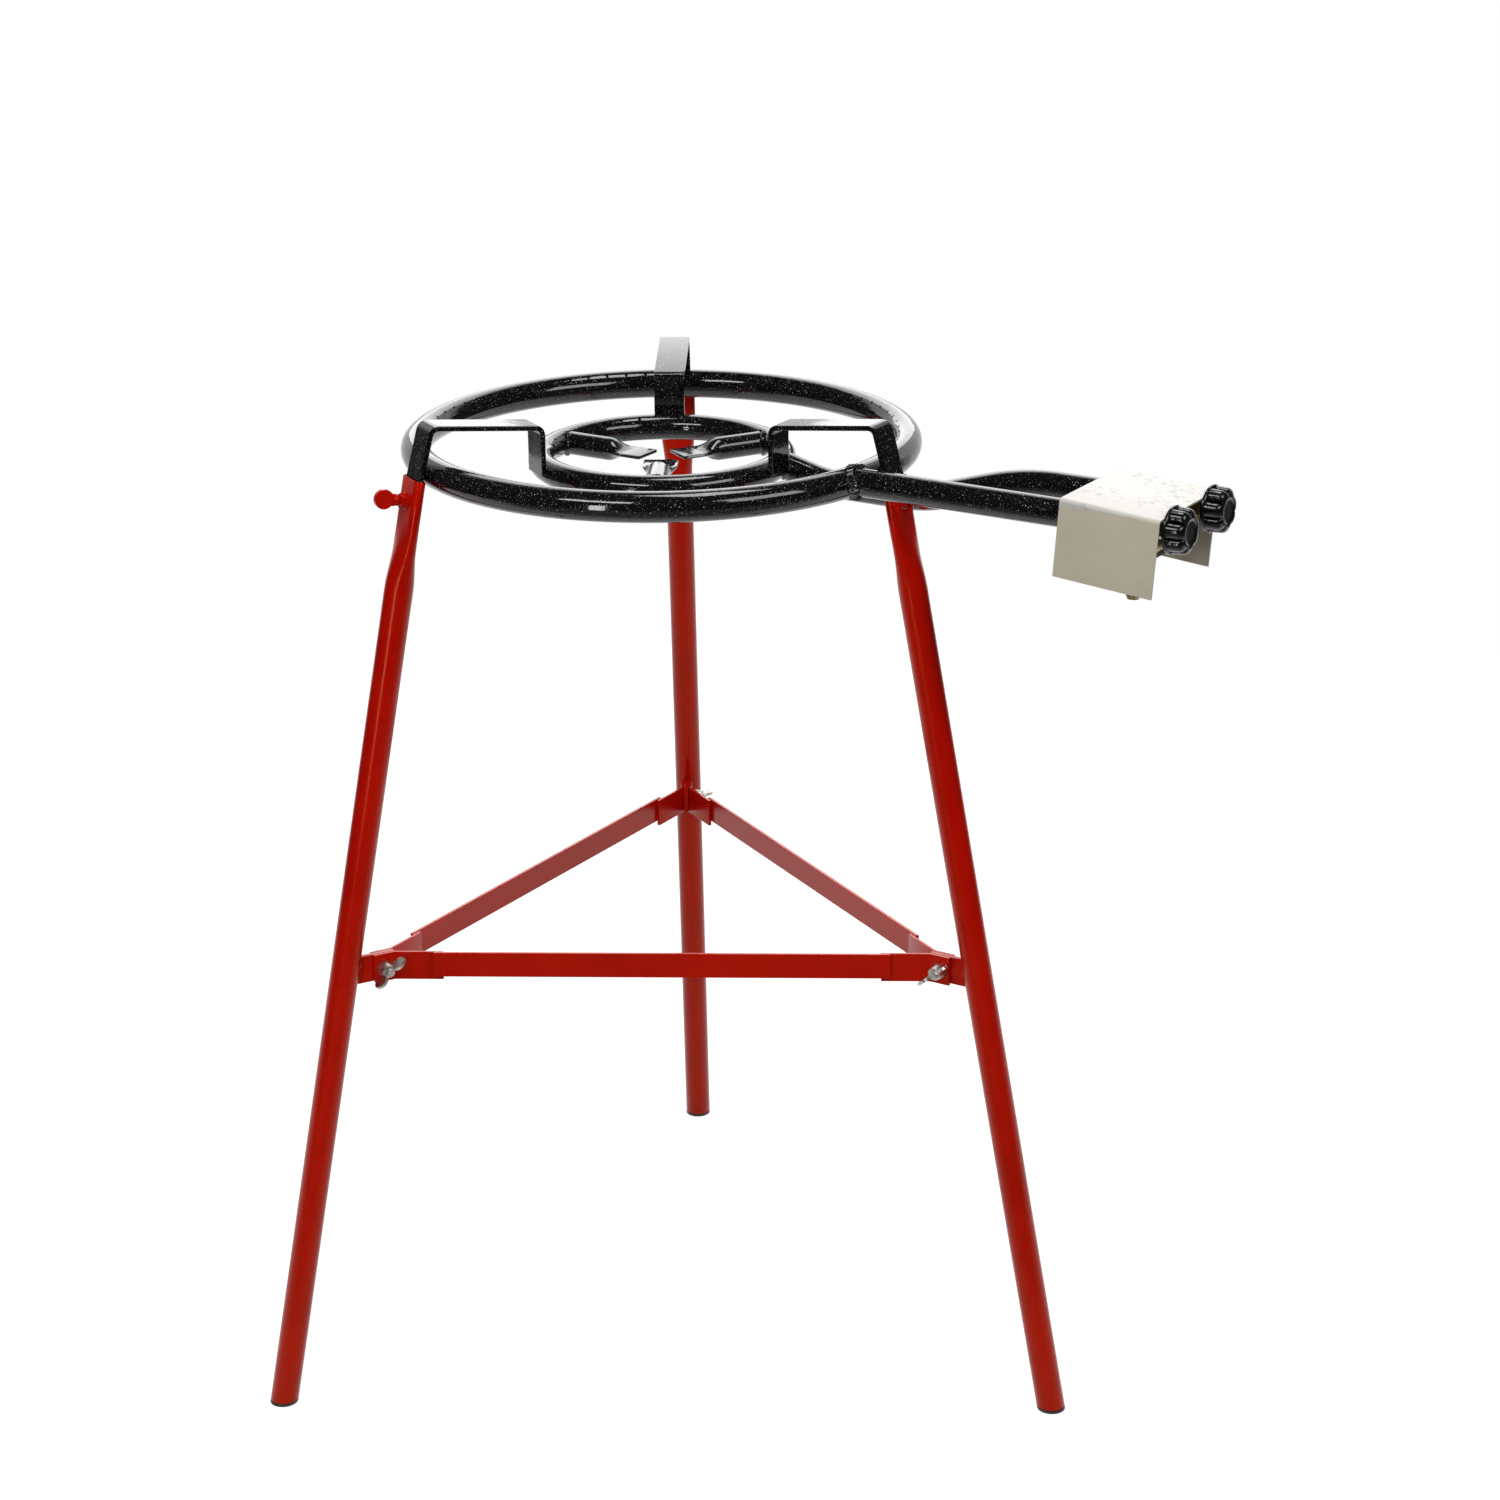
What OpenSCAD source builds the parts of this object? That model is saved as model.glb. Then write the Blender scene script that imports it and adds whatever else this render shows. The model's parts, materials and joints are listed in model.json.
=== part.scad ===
// Two-ring gas burner on a three-leg stand.
// +Z is up and the origin lies on the floor, under the axis of the rings.
// The feed tubes and their taps point along +X. Leg 1 stands at 0 degrees, legs 2 and 3 follow
// anticlockwise, and the burner's fingers lie between the legs.

/* [Rings] */
// Outside diameter of the outer ring
ring_od = 400; // [360:5:440]
// Diameter of the outer ring's tube
ring_tube = 23; // [20:0.5:25]
// Height of the outer ring's centre above the floor
ring_z = 741; // [600:1:850]
// Outside diameter of the inner ring
inner_od = 206; // [170:2:220]
// Diameter of the inner ring's tube
inner_tube = 20; // [16:0.5:22]
// How far the inner ring sits below the outer ring
inner_drop = 12.5; // [6:0.5:16]
// Wall thickness of the bent tubes
tube_wall = 1.5; // [1:0.1:2]
// Diameter of the fingers inside the inner ring
finger_tube = 18; // [14:0.5:20]
// Distance from the axis to a finger's crimped tip
finger_tip_r = 13; // [8:1:24]
// Diameter of a flame port
port_d = 2.4; // [1.6:0.2:3]
// Spacing of the flame ports along a tube
port_pitch = 16; // [12:1:24]
// Lean of the flame ports from straight up
port_lean = 35; // [20:5:45]

/* [Pan supports] */
// Width of the flat bar
bar_w = 24; // [18:0.5:25]
// Thickness of the flat bar
bar_t = 4; // [3:0.25:4.5]
// Height of the support's outer corner above the ring's centre
support_rise = 38.9; // [30:0.5:50]
// Slope of the support's top, falling towards the centre
support_slope = 7; // [0:0.5:9]
// Lean of the support's outer limb
support_lean = 15.5; // [12:0.5:18]
// Length of the tongue inside the leg
tongue_l = 34; // [30:1:50]

/* [Legs] */
// Outside diameter of a leg
leg_d = 22; // [20:0.5:25]
// Wall thickness of a leg
leg_wall = 1.3; // [1:0.1:1.5]
// Radial depth of the flattened socket at the leg's top
socket_depth = 8.6; // [8.2:0.1:9.4]
// Length of the flattened socket
socket_l = 58; // [50:1:80]
// Length over which the socket turns into a round tube
socket_blend = 28; // [20:1:50]
// Gap from the outer ring to the middle of the leg's socket
mouth_gap = 5.4; // [5:0.1:7]
// Distance of the foot from the axis
foot_r = 352; // [320:1:380]
// Depth of the leg's top below the ring's centre
leg_top_drop = 2; // [1:0.5:6]
// Thickness of the foot plug's sole
sole_t = 3; // [2:0.5:5]

/* [Brace] */
// Distance of a brace bolt from the middle of its leg
bolt_gap = 31; // [29.5:0.5:33]
// Height of the brace bolts
bolt_z = 355.5; // [300:0.5:420]
// Height of the brace's flat bars
brace_h = 20; // [16:1:22]
// Thickness of the brace's flat bars
brace_t = 3; // [2:0.25:4]
// Height of the cheek plates
cheek_h = 23; // [20:0.5:26]
// Thickness of the cheek plates
cheek_t = 2.5; // [2:0.25:3]
// Length of a cheek's limb beside the bar
cheek_l = 38; // [30:1:50]
// Overlap of a bar on a cheek
brace_lap = 7; // [5:0.5:15]
// Thickness of the lug on the leg
tab_t = 4; // [3:0.5:5]

/* [Feed tubes] */
// Diameter of the feed tubes
feed_tube = 21; // [18:0.5:22]
// Distance of the outer ring's feed tube from the centre plane
outer_feed_y = 33.5; // [32:0.5:36]
// Height of the feed tubes above the ring's centre
feed_lift = 1.5; // [0:0.5:3]
// Where the feed tubes end
mouth_x = 400; // [395:1:420]
// Lowest height of the inner feed tube under the outer ring
feed_dip = 23; // [22.5:0.5:26]
// Slope of the inner feed tube where it falls to the dip
fall_angle = 14; // [12:1:20]
// Slope of the inner feed tube where it rises from the dip
rise_angle = 16.5; // [14:0.5:20]
// Bend radius before and after the dip
dip_bend = 120; // [90:5:140]
// Bend radius where the inner feed tube levels out
level_bend = 200; // [120:5:220]

/* [Control head] */
// How far the cover reaches back over the feed tubes
cover_back = 32; // [24:1:40]
// Length of the sheet cover
cover_l = 77.4; // [70:0.2:80]
// Distance of the cover's near side from the outer ring's feed tube
cover_margin = 19; // [17:0.5:24]
// Distance of the cover's far side from the inner ring's feed tube
far_margin = 14; // [12:0.5:20]
// Width of the sheet cover, which sets the inner ring's feed tube apart from the outer ring's
cover_w = 96; // [86:1:120]
// Height of the cover's sides
cover_h = 58; // [50:1:70]
// Thickness of the cover's sheet
cover_t = 1.5; // [1:0.1:2]
// Droop of the cover towards the knobs
cover_droop = 4.5; // [3:0.5:5]
// Height of the cover's rear edge above the feed tubes' axis
cover_rise = 16.5; // [16:0.5:20]
// Distance of the taps' tails from the feed tubes' mouths
tap_gap = 18; // [17:0.5:20]
// Distance of the knobs from the feed tubes' mouths
knob_gap = 45.8; // [45:0.2:50]
// Height of the panel behind the taps' shoulders
panel_h = 52; // [40:1:55]
// Diameter of a knob
knob_d = 35; // [30:0.5:38]
// Length of a knob
knob_l = 15; // [12:0.5:20]
// Number of lobes on a knob
knob_lobes = 7; // [5:1:9]
// Diameter of a spindle
spindle_d = 6; // [5:0.5:7]
// Diameter of the manifold's tube
manifold_d = 16; // [14:0.5:18]
// Depth of the manifold below the taps
manifold_drop = 20; // [18:0.5:24]
// Outside diameter of the hose nozzle's ribs
nozzle_d = 10.4; // [9:0.1:12]
// Length of the ribbed part of the hose nozzle
nozzle_l = 20; // [18:1:30]

/* [Fasteners] */
// Thread diameter of the bolts and thumb screws
thread_d = 6; // [5:0.5:6]
// Distance of the thumb screw below the leg's top
screw_drop = 17; // [12:0.5:24]
// Width of the thumb screw's spade head
spade_w = 15; // [12:0.5:18]
// Span of a wing nut
wing_span = 31; // [26:1:34]
// Turn of the front wing nuts on their bolts
wing_turn = 40; // [0:5:90]

/* [Fits] */
// Gap between pieces that are welded, bolted or seated
seat = 0.2; // [0.1:0.05:0.3]
// Radial running clearance of screws, nuts and spindles
running = 0.06; // [0.03:0.01:0.09]
// Radial clearance of a bolt in its hole
hole_play = 0.3; // [0.2:0.05:0.5]

/* [Hidden] */
$fn = 96;
LEGS = 3;
leg_step = 360 / LEGS;
// The side of each lug that has the wing nut, and how that nut is turned.
NUT_SIDE = [-1, -1, 1];
NUT_TURN = [wing_turn, 0, wing_turn];

ring_r = (ring_od - ring_tube) / 2;
inner_r = (inner_od - inner_tube) / 2;
inner_z = ring_z - inner_drop;

// A leg leans outwards from its top to its foot.
leg_top_r = ring_od / 2 + mouth_gap;
leg_top_z = ring_z - leg_top_drop;
leg_lean = atan((foot_r - leg_top_r) / leg_top_z);
leg_l = leg_top_z / cos(leg_lean);
leg_r = leg_d / 2;
// The flattened socket keeps the perimeter of the round tube.
socket_w = socket_depth + PI * (leg_d - socket_depth) / 2;

// The support's corners are worked out on the bar's middle line, as radius and height above the ring.
tongue_shift = 0.4;
mouth_point = [leg_top_r - tongue_shift / cos(leg_lean), -leg_top_drop];
tongue_end = mouth_point + tongue_l * [sin(leg_lean), -cos(leg_lean)];
limb_inner_r = inner_od / 2 + seat + bar_t / 2;
limb_foot_z = -inner_drop + 1.5;
top_middle_z = support_rise - bar_t / 2 / cos(support_slope);
limb_outer_r = mouth_point[0] - (top_middle_z + leg_top_drop) * tan(support_lean);
top_fall = (limb_outer_r - limb_inner_r) * tan(support_slope);
SUPPORT_PATH = [
    [limb_inner_r, limb_foot_z],
    [limb_inner_r, top_middle_z - top_fall],
    [limb_outer_r, top_middle_z],
    mouth_point,
    tongue_end
];

// The brace's corner, seen from above with the bolt on the x axis.
leg_r_at_bolt = leg_top_r + (leg_top_z - bolt_z) * tan(leg_lean);
bolt_r = leg_r_at_bolt - bolt_gap;
side_turn = 90 - leg_step / 2;
cheek_y = tab_t / 2 + seat + cheek_t / 2;
cheek_bend_x = bolt_r - 9;
cheek_start_x = bolt_r + 8;
CHEEK_PATH = [
    [cheek_start_x, cheek_y],
    [cheek_bend_x, cheek_y],
    [cheek_bend_x - cheek_l * cos(side_turn), cheek_y + cheek_l * sin(side_turn)]
];
cheek_line = cheek_bend_x * sin(side_turn) + cheek_y * cos(side_turn);
cheek_reach = cheek_bend_x * cos(side_turn) - cheek_y * sin(side_turn) - cheek_l;
bar_line = cheek_line + cheek_t / 2 + seat + brace_t / 2;
bar_half = cheek_reach + brace_lap;
brace_z = bolt_z + 1;
washer_t = 1.2;
stack = tab_t / 2 + seat + cheek_t;
head_y = stack + seat + washer_t + seat;

feed_z = ring_z + feed_lift;
feed_wall_r = feed_tube / 2 - tube_wall;
// The gas enters each ring through a hole smaller than its feed tube's bore.
entry_r = feed_wall_r - 2;
cover_x = mouth_x - cover_back;
tap_x = mouth_x + tap_gap;
knob_x = mouth_x + knob_gap;
// The manifold and the strap sit midway between the feed tubes, and the cover reaches past the outer one.
inner_feed_y = cover_w - cover_margin - outer_feed_y - far_margin;
tap_half = (outer_feed_y + inner_feed_y) / 2;
head_y_mid = (inner_feed_y - outer_feed_y) / 2;
cover_y_mid = cover_w / 2 - outer_feed_y - cover_margin;
// Where the inner feed tube starts, dips and levels out, as x and depth below the feed axis.
start_x = sqrt(pow(inner_r, 2) - pow(inner_feed_y, 2));
start_z = inner_z - feed_z;
low_z = -feed_dip - feed_lift;

// ---- Outlines of bent strip ----

function unit(v) = v / norm(v);
function left_of(v) = [-v[1], v[0]];
function turned(v, a) = [v[0] * cos(a) - v[1] * sin(a), v[0] * sin(a) + v[1] * cos(a)];
function turn_at(p, i) =
    let (a = unit(p[i] - p[i - 1]), b = unit(p[i + 1] - p[i]))
    atan2(a[0] * b[1] - a[1] * b[0], a[0] * b[0] + a[1] * b[1]);

// Points of one bend with their directions, for a middle line of the given bend radius.
function bend_stations(p, i, bend, steps) =
    let (
        a = unit(p[i] - p[i - 1]),
        turn = turn_at(p, i),
        start = p[i] - a * bend * tan(abs(turn) / 2),
        centre = start + sign(turn) * left_of(a) * bend
    )
    [for (k = [0:steps]) [centre + turned(start - centre, turn * k / steps), turned(a, turn * k / steps)]];

function strip_stations(p, bend, steps) =
    let (last = len(p) - 1)
    concat(
        [[p[0], unit(p[1] - p[0])]],
        [for (i = [1:last - 1]) each bend_stations(p, i, bend, steps)],
        [[p[last], unit(p[last] - p[last - 1])]]
    );

// The outline of a strip of thickness t that follows the points p.
module bent_strip(p, t, bend, steps = 6) {
    s = strip_stations(p, bend, steps);
    n = len(s) - 1;
    polygon(concat(
        [for (k = [0:n]) s[k][0] + left_of(s[k][1]) * t / 2],
        [for (k = [n:-1:0]) s[k][0] - left_of(s[k][1]) * t / 2]
    ));
}

// ---- Shared shapes ----

module around(i) {
    rotate([0, 0, (i - 1) * leg_step]) children();
}

module ring_solid(r, d) {
    rotate_extrude() translate([r, 0]) circle(d = d);
}

module pipe(od, wall, l) {
    difference() {
        cylinder(d = od, h = l);
        translate([0, 0, -1]) cylinder(d = od - 2 * wall, h = l + 2);
    }
}

module stadium(w, d) {
    straight = w - d;
    square([d, straight], center = true);
    for (side = [-1, 1]) translate([0, side * straight / 2]) circle(d = d);
}

// Moves children from a leg's own frame, with its top at the origin and its run along -z.
module on_leg(i) {
    around(i) translate([leg_top_r, 0, leg_top_z]) rotate([0, -leg_lean, 0]) children();
}

// Where a feed line lies: side -1 feeds the outer ring and side 1 the inner one.
function line_y(side) = side < 0 ? -outer_feed_y : inner_feed_y;

// Moves children to a feed line: x runs along the tube, with its mouth at x = 0.
module on_feed(side) {
    translate([mouth_x, line_y(side), feed_z]) children();
}

// Moves children to a brace bolt: z runs along the bolt, towards its wing nut.
module on_bolt(i) {
    around(i) translate([bolt_r, 0, bolt_z]) rotate([-90 * NUT_SIDE[i - 1], 0, 0]) children();
}

module hexagon(across, h) {
    cylinder(d = across / cos(30), h = h, $fn = 6);
}

// ---- Burner ----

// The drill for one flame port at the top of a tube.
module port(tube) {
    translate([0, 0, tube / 2 - 2 * tube_wall]) cylinder(d = port_d, h = 3 * tube_wall, $fn = 24);
}

// Drills for the flame ports of a ring: round its crown, leaning inwards, and clear of the supports.
module ring_ports(r, tube, keep_out) {
    per_third = floor(2 * PI * r / LEGS / port_pitch);
    for (i = [0:LEGS - 1], k = [0:per_third - 1])
        let (a = (k + 0.5) * leg_step / per_third)
        if (r * sin(min(a, leg_step - a)) > keep_out)
            rotate([0, 0, i * leg_step + a]) translate([r, 0, 0]) rotate([0, -port_lean, 0]) port(tube);
}

module outer_ring() {
    color([0.09, 0.09, 0.1])
    difference() {
        translate([0, 0, ring_z]) ring_solid(ring_r, ring_tube);
        translate([0, 0, ring_z]) ring_solid(ring_r, ring_tube - 2 * tube_wall);
        translate([ring_r, -outer_feed_y, feed_z]) rotate([0, 90, 0]) cylinder(r = entry_r, h = ring_tube);
        translate([0, 0, ring_z]) ring_ports(ring_r, ring_tube, bar_w / 2 + 4);
    }
}

module inner_ring() {
    color([0.09, 0.09, 0.1])
    difference() {
        translate([0, 0, inner_z]) ring_solid(inner_r, inner_tube);
        translate([0, 0, inner_z]) ring_solid(inner_r, inner_tube - 2 * tube_wall);
        translate([start_x, inner_feed_y, inner_z]) rotate([0, 90 + fall_angle, 0])
            cylinder(r = entry_r, h = inner_tube);
        for (i = [1:LEGS])
            rotate([0, 0, (i - 0.5) * leg_step]) translate([inner_r, 0, inner_z]) rotate([0, -90, 0])
                cylinder(d = finger_tube - 8, h = inner_tube);
        translate([0, 0, inner_z]) ring_ports(inner_r, inner_tube, bar_w / 2 + 2);
    }
}

// A finger is a short tube whose inner end is pressed flat.
module burner_finger(i) {
    crimp_l = 16;
    crimp_t = 2.8;
    crimp_w = finger_tube * PI / 2 - 2;
    blend_l = 20;
    crimp_end = finger_tip_r + crimp_l;
    blend_end = crimp_end + blend_l;
    color([0.09, 0.09, 0.1])
    rotate([0, 0, (i - 0.5) * leg_step]) translate([0, 0, inner_z])
    difference() {
        union() {
            translate([blend_end, 0, 0]) rotate([0, 90, 0])
                pipe(finger_tube, tube_wall, inner_r - blend_end);
            hull() {
                translate([blend_end, 0, 0]) rotate([0, 90, 0]) cylinder(d = finger_tube, h = 0.01, $fn = 32);
                translate([crimp_end, -crimp_w / 2, -crimp_t / 2]) cube([0.01, crimp_w, crimp_t]);
            }
            translate([finger_tip_r, -crimp_w / 2, -crimp_t / 2]) cube([crimp_l, crimp_w, crimp_t]);
        }
        ring_solid(inner_r, inner_tube + 2 * seat);
        for (x = [blend_end + 3:port_pitch / 2:inner_r - inner_tube / 2 - 3], side = [-1, 1])
            translate([x, 0, 0]) rotate([side * port_lean, 0, 0])
                port(finger_tube);
    }
}

module outer_feed_tube() {
    l = mouth_x - sqrt(pow(ring_r, 2) - pow(outer_feed_y, 2));
    color([0.09, 0.09, 0.1])
    difference() {
        on_feed(-1) translate([-l, 0, 0]) rotate([0, 90, 0]) pipe(feed_tube, tube_wall, l);
        translate([0, 0, ring_z]) ring_solid(ring_r, ring_tube + 2 * seat);
        air_windows(-1);
    }
}

// Two slots let air in beside the gas jet.
module air_windows(side) {
    window_l = 15;
    window_h = 9;
    window_reach = 22;
    on_feed(side) translate([-window_reach, 0, 0]) rotate([90, 0, 0])
        linear_extrude(feed_tube + 2, center = true) {
            translate([window_h / 2, -window_h / 2]) square([window_l - window_h, window_h]);
            translate([window_h / 2, 0]) circle(d = window_h);
            translate([window_l - window_h / 2, 0]) circle(d = window_h);
        }
}

// A bent tube through stations in the xz plane: rings of points outside and inside, closed at both ends.
module bent_tube(stations, outer_r, inner_r, sides = 24) {
    n = len(stations);
    points = [
        for (r = [outer_r, inner_r], s = stations, k = [0:sides - 1])
            let (a = 360 * k / sides, side = left_of(s[1]) * r * cos(a))
            [s[0][0] + side[0], r * sin(a), s[0][1] + side[1]]
    ];
    inner = n * sides;
    last = (n - 1) * sides;
    outside = [for (i = [0:n - 2], k = [0:sides - 1])
        let (a = i * sides + k, b = i * sides + (k + 1) % sides)
        each [[a, b, b + sides], [a, b + sides, a + sides]]];
    inside = [for (f = outside) [f[2] + inner, f[1] + inner, f[0] + inner]];
    caps = [for (k = [0:sides - 1])
        let (a = k, b = (k + 1) % sides)
        each [
            [a, a + inner, b + inner], [a, b + inner, b],
            [last + a, last + b + inner, last + a + inner], [last + a, last + b, last + b + inner]
        ]];
    polyhedron(points, concat(outside, inside, caps));
}

// The inner feed tube falls from its ring, passes under the outer ring and rises to its tap.
// Its ends are straight pipe, and the bent stretch between them laps into both.
module inner_feed_tube() {
    lap = 1;
    skin = 0.06;
    low_x = start_x + (start_z - low_z) / tan(fall_angle);
    rise_x = sqrt(pow(ring_r, 2) - pow(inner_feed_y, 2)) + ring_tube / 2 + dip_bend * tan(rise_angle / 2);
    level_x = rise_x - low_z / tan(rise_angle);
    path = [[start_x, start_z], [low_x, low_z], [rise_x, low_z], [level_x, 0], [mouth_x, 0]];
    stations = concat(
        bend_stations(path, 1, dip_bend, 5),
        bend_stations(path, 2, dip_bend, 5),
        bend_stations(path, 3, level_bend, 6)
    );
    entry_l = norm(stations[0][0] - path[0]) + lap;
    exit_x = stations[len(stations) - 1][0][0] - lap;
    color([0.09, 0.09, 0.1])
    difference() {
        translate([0, inner_feed_y, feed_z]) {
            translate([start_x, 0, start_z]) rotate([0, 90 + fall_angle, 0])
                pipe(feed_tube, tube_wall, entry_l);
            bent_tube(stations, feed_tube / 2 - skin, feed_wall_r * 1.01 + skin);
            translate([exit_x, 0, 0]) rotate([0, 90, 0]) pipe(feed_tube, tube_wall, mouth_x - exit_x);
        }
        translate([0, 0, inner_z]) ring_solid(inner_r, inner_tube + 2 * seat);
        air_windows(1);
    }
}

// The flat bar carries the pan, touches both rings and ends in a tongue for the leg's socket.
module pan_support(i) {
    pad_w = bar_w - 4;
    pad_low = -leg_top_drop + 0.3;
    pad_h = 8;
    color([0.09, 0.09, 0.1])
    around(i) translate([0, 0, ring_z]) {
        rotate([90, 0, 0]) linear_extrude(bar_w, center = true)
            bent_strip(SUPPORT_PATH, bar_t, bar_t / 2 + 4);
        // The weld pad fills the space between the bar and the ring.
        difference() {
            translate([ring_r, -pad_w / 2, pad_low])
                cube([mouth_point[0] - ring_r - 0.5, pad_w, pad_h]);
            ring_solid(ring_r, ring_tube + 2 * seat);
        }
    }
}

// ---- Stand ----

// Outer or inner form of the leg: a socket, a blend and a round tube.
module leg_form(inset) {
    over = inset > 0 ? 1 : 0;
    w = socket_w - 2 * inset;
    d = socket_depth - 2 * inset;
    r = leg_r - inset;
    translate([0, 0, -socket_l]) linear_extrude(socket_l + over) stadium(w, d);
    hull() {
        translate([0, 0, -socket_l - 0.01]) linear_extrude(0.01) stadium(w, d, $fn = 32);
        translate([0, 0, -socket_l - socket_blend]) cylinder(r = r, h = 0.01, $fn = 32);
    }
    translate([0, 0, -leg_l - leg_d]) cylinder(r = r, h = leg_l + leg_d - socket_l - socket_blend);
}

module leg(i) {
    color([0.62, 0.09, 0.05])
    difference() {
        on_leg(i) difference() {
            leg_form(0);
            leg_form(leg_wall);
            translate([0, 0, -screw_drop]) rotate([0, 90, 0])
                cylinder(r = thread_d / 2 + hole_play, h = socket_depth);
        }
        around(i) translate([foot_r - leg_d * 2, -leg_d, -leg_d * 2])
            cube([leg_d * 4, leg_d * 2, leg_d * 2 + sole_t]);
    }
}

// The plug's sole lies flat on the floor and its stem sits in the leg.
module foot_plug(i) {
    stem_l = 22;
    color([0.06, 0.06, 0.06])
    around(i) {
        slanted_slice(leg_r, 0, sole_t - seat / 2);
        slanted_slice(leg_r - leg_wall - seat / 2, sole_t / 2, stem_l);
    }
}

// A round bar along a leg's middle line, cut level at two heights.
module slanted_slice(r, low, high) {
    intersection() {
        translate([foot_r, 0, 0]) rotate([0, -leg_lean, 0]) translate([0, 0, -leg_d])
            cylinder(r = r, h = leg_d * 3);
        translate([foot_r - leg_d * 1.5, -leg_d, low]) cube([leg_d * 3, leg_d * 2, high - low]);
    }
}

nut_x = socket_depth / 2 + seat;
nut_t = 5;

module weld_nuts() {
    color([0.5, 0.08, 0.05])
    for (i = [1:LEGS])
        on_leg(i) translate([nut_x, 0, -screw_drop]) rotate([0, 90, 0]) difference() {
            hexagon(10, nut_t);
            translate([0, 0, -1]) cylinder(r = thread_d / 2 + running, h = nut_t + 2);
        }
}

// The spade head of a thumb screw, with a collar under it.
module thumb_screw(i) {
    tip_x = bar_t / 2 - tongue_shift + 0.3;
    neck_x = nut_x + nut_t + 2.5;
    spade_t = 3.2;
    color([0.62, 0.09, 0.05])
    on_leg(i) translate([0, 0, -screw_drop]) rotate([0, 90, 0]) {
        translate([0, 0, tip_x]) cylinder(d = thread_d, h = neck_x + 3 - tip_x);
        translate([0, 0, neck_x]) cylinder(d = thread_d + 3, h = 2);
        translate([0, 0, neck_x + 2]) rotate([90, 0, 0]) linear_extrude(spade_t, center = true)
            difference() {
                union() {
                    translate([0, spade_w * 0.55]) circle(d = spade_w);
                    translate([-spade_w * 0.3, 0]) square([spade_w * 0.6, spade_w * 0.5]);
                }
                translate([-spade_w, -spade_w]) square([spade_w * 2, spade_w]);
            }
    }
}

// The lug is coped to the leg and drilled for the brace bolt.
module brace_tab(i) {
    color([0.62, 0.09, 0.05])
    difference() {
        around(i) translate([bolt_r - 10, -tab_t / 2, brace_z - cheek_h / 2])
            cube([leg_r_at_bolt - bolt_r + 6, tab_t, cheek_h - 1]);
        on_leg(i) translate([0, 0, -leg_l]) cylinder(r = leg_r + seat, h = leg_l);
        on_bolt(i) cylinder(r = thread_d / 2 + hole_play, h = tab_t * 4, center = true);
    }
}

module brace_bar(i) {
    color([0.62, 0.09, 0.05])
    rotate([0, 0, (i - 0.5) * leg_step])
        translate([bar_line - brace_t / 2, -bar_half, brace_z - brace_h / 2 + 1])
            cube([brace_t, 2 * bar_half, brace_h]);
}

// A cheek lies against the lug, bends and runs on behind the bar. Odd cheeks lie on the +y side of a lug.
module brace_cheek(k) {
    i = ceil(k / 2);
    side = k % 2 == 1 ? 1 : 0;
    color([0.62, 0.09, 0.05])
    difference() {
        around(i) mirror([0, 1 - side, 0]) translate([0, 0, brace_z - cheek_h / 2 - 1])
            linear_extrude(cheek_h) bent_strip(CHEEK_PATH, cheek_t, cheek_t / 2 + 2, 4);
        on_bolt(i) cylinder(r = thread_d / 2 + hole_play, h = tab_t * 6, center = true);
    }
}

module brace_bolt(i) {
    hex_t = 4;
    shank_end = stack + 13;
    color([0.75, 0.73, 0.7])
    on_bolt(i) {
        translate([0, 0, -head_y - hex_t]) hexagon(10, hex_t);
        translate([0, 0, -head_y - 0.5]) cylinder(d = thread_d, h = head_y + 0.5 + shank_end);
    }
}

module brace_washers() {
    color([0.75, 0.73, 0.7])
    for (i = [1:LEGS])
        on_bolt(i) for (flip = [0, 1]) mirror([0, 0, flip]) translate([0, 0, stack + seat]) difference() {
            cylinder(d = thread_d * 2, h = washer_t);
            translate([0, 0, -1]) cylinder(d = thread_d + 2 * hole_play, h = washer_t + 2);
        }
}

// One ear of a wing nut leans outwards from the hub.
module wing(side) {
    ear_d = wing_span * 0.36;
    mirror([side, 0]) {
        translate([wing_span / 2 - ear_d / 2, 10.5]) circle(d = ear_d);
        polygon([
            [3.8, 1.5], [5.5, 2], [wing_span / 2 - 0.6, 8.5], [wing_span / 2 - ear_d, 12.5], [3.8, 7.5]
        ]);
    }
}

module wing_nut(i) {
    hub_h = 8;
    color([0.75, 0.73, 0.7])
    on_bolt(i) translate([0, 0, head_y + 0.1]) rotate([0, 0, NUT_TURN[i - 1]]) difference() {
        union() {
            rotate_extrude() polygon([[0, 0], [6, 0], [6, 2], [5, hub_h], [0, hub_h]]);
            rotate([90, 0, 0]) linear_extrude(2.4, center = true) {
                wing(0);
                wing(1);
            }
        }
        translate([0, 0, -1]) cylinder(r = thread_d / 2 + running, h = hub_h + 12);
    }
}

// ---- Control head ----

tail_d = 10;
manifold_l = 2 * tap_half + 1.6 * tail_d;

module gas_manifold() {
    color([0.72, 0.55, 0.25])
    translate([tap_x, head_y_mid, feed_z - manifold_drop]) difference() {
        rotate([90, 0, 0]) translate([0, 0, -manifold_l / 2]) pipe(manifold_d, 2, manifold_l);
        for (side = [-1, 1]) translate([0, side * tap_half, 0]) cylinder(d = tail_d + seat, h = manifold_d);
        translate([0, -tap_half, -manifold_d]) cylinder(d = tail_d - 1 + seat, h = manifold_d);
    }
}

module manifold_plugs() {
    color([0.72, 0.55, 0.25])
    translate([tap_x, head_y_mid, feed_z - manifold_drop]) for (side = [0, 1]) mirror([0, side, 0]) {
        translate([0, manifold_l / 2 + seat, 0]) rotate([-90, 0, 0]) hexagon(manifold_d - 2, 3);
        translate([0, manifold_l / 2 - 2.5, 0]) rotate([-90, 0, 0])
            cylinder(d = manifold_d - 4 - seat, h = 3.5);
    }
}

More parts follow.
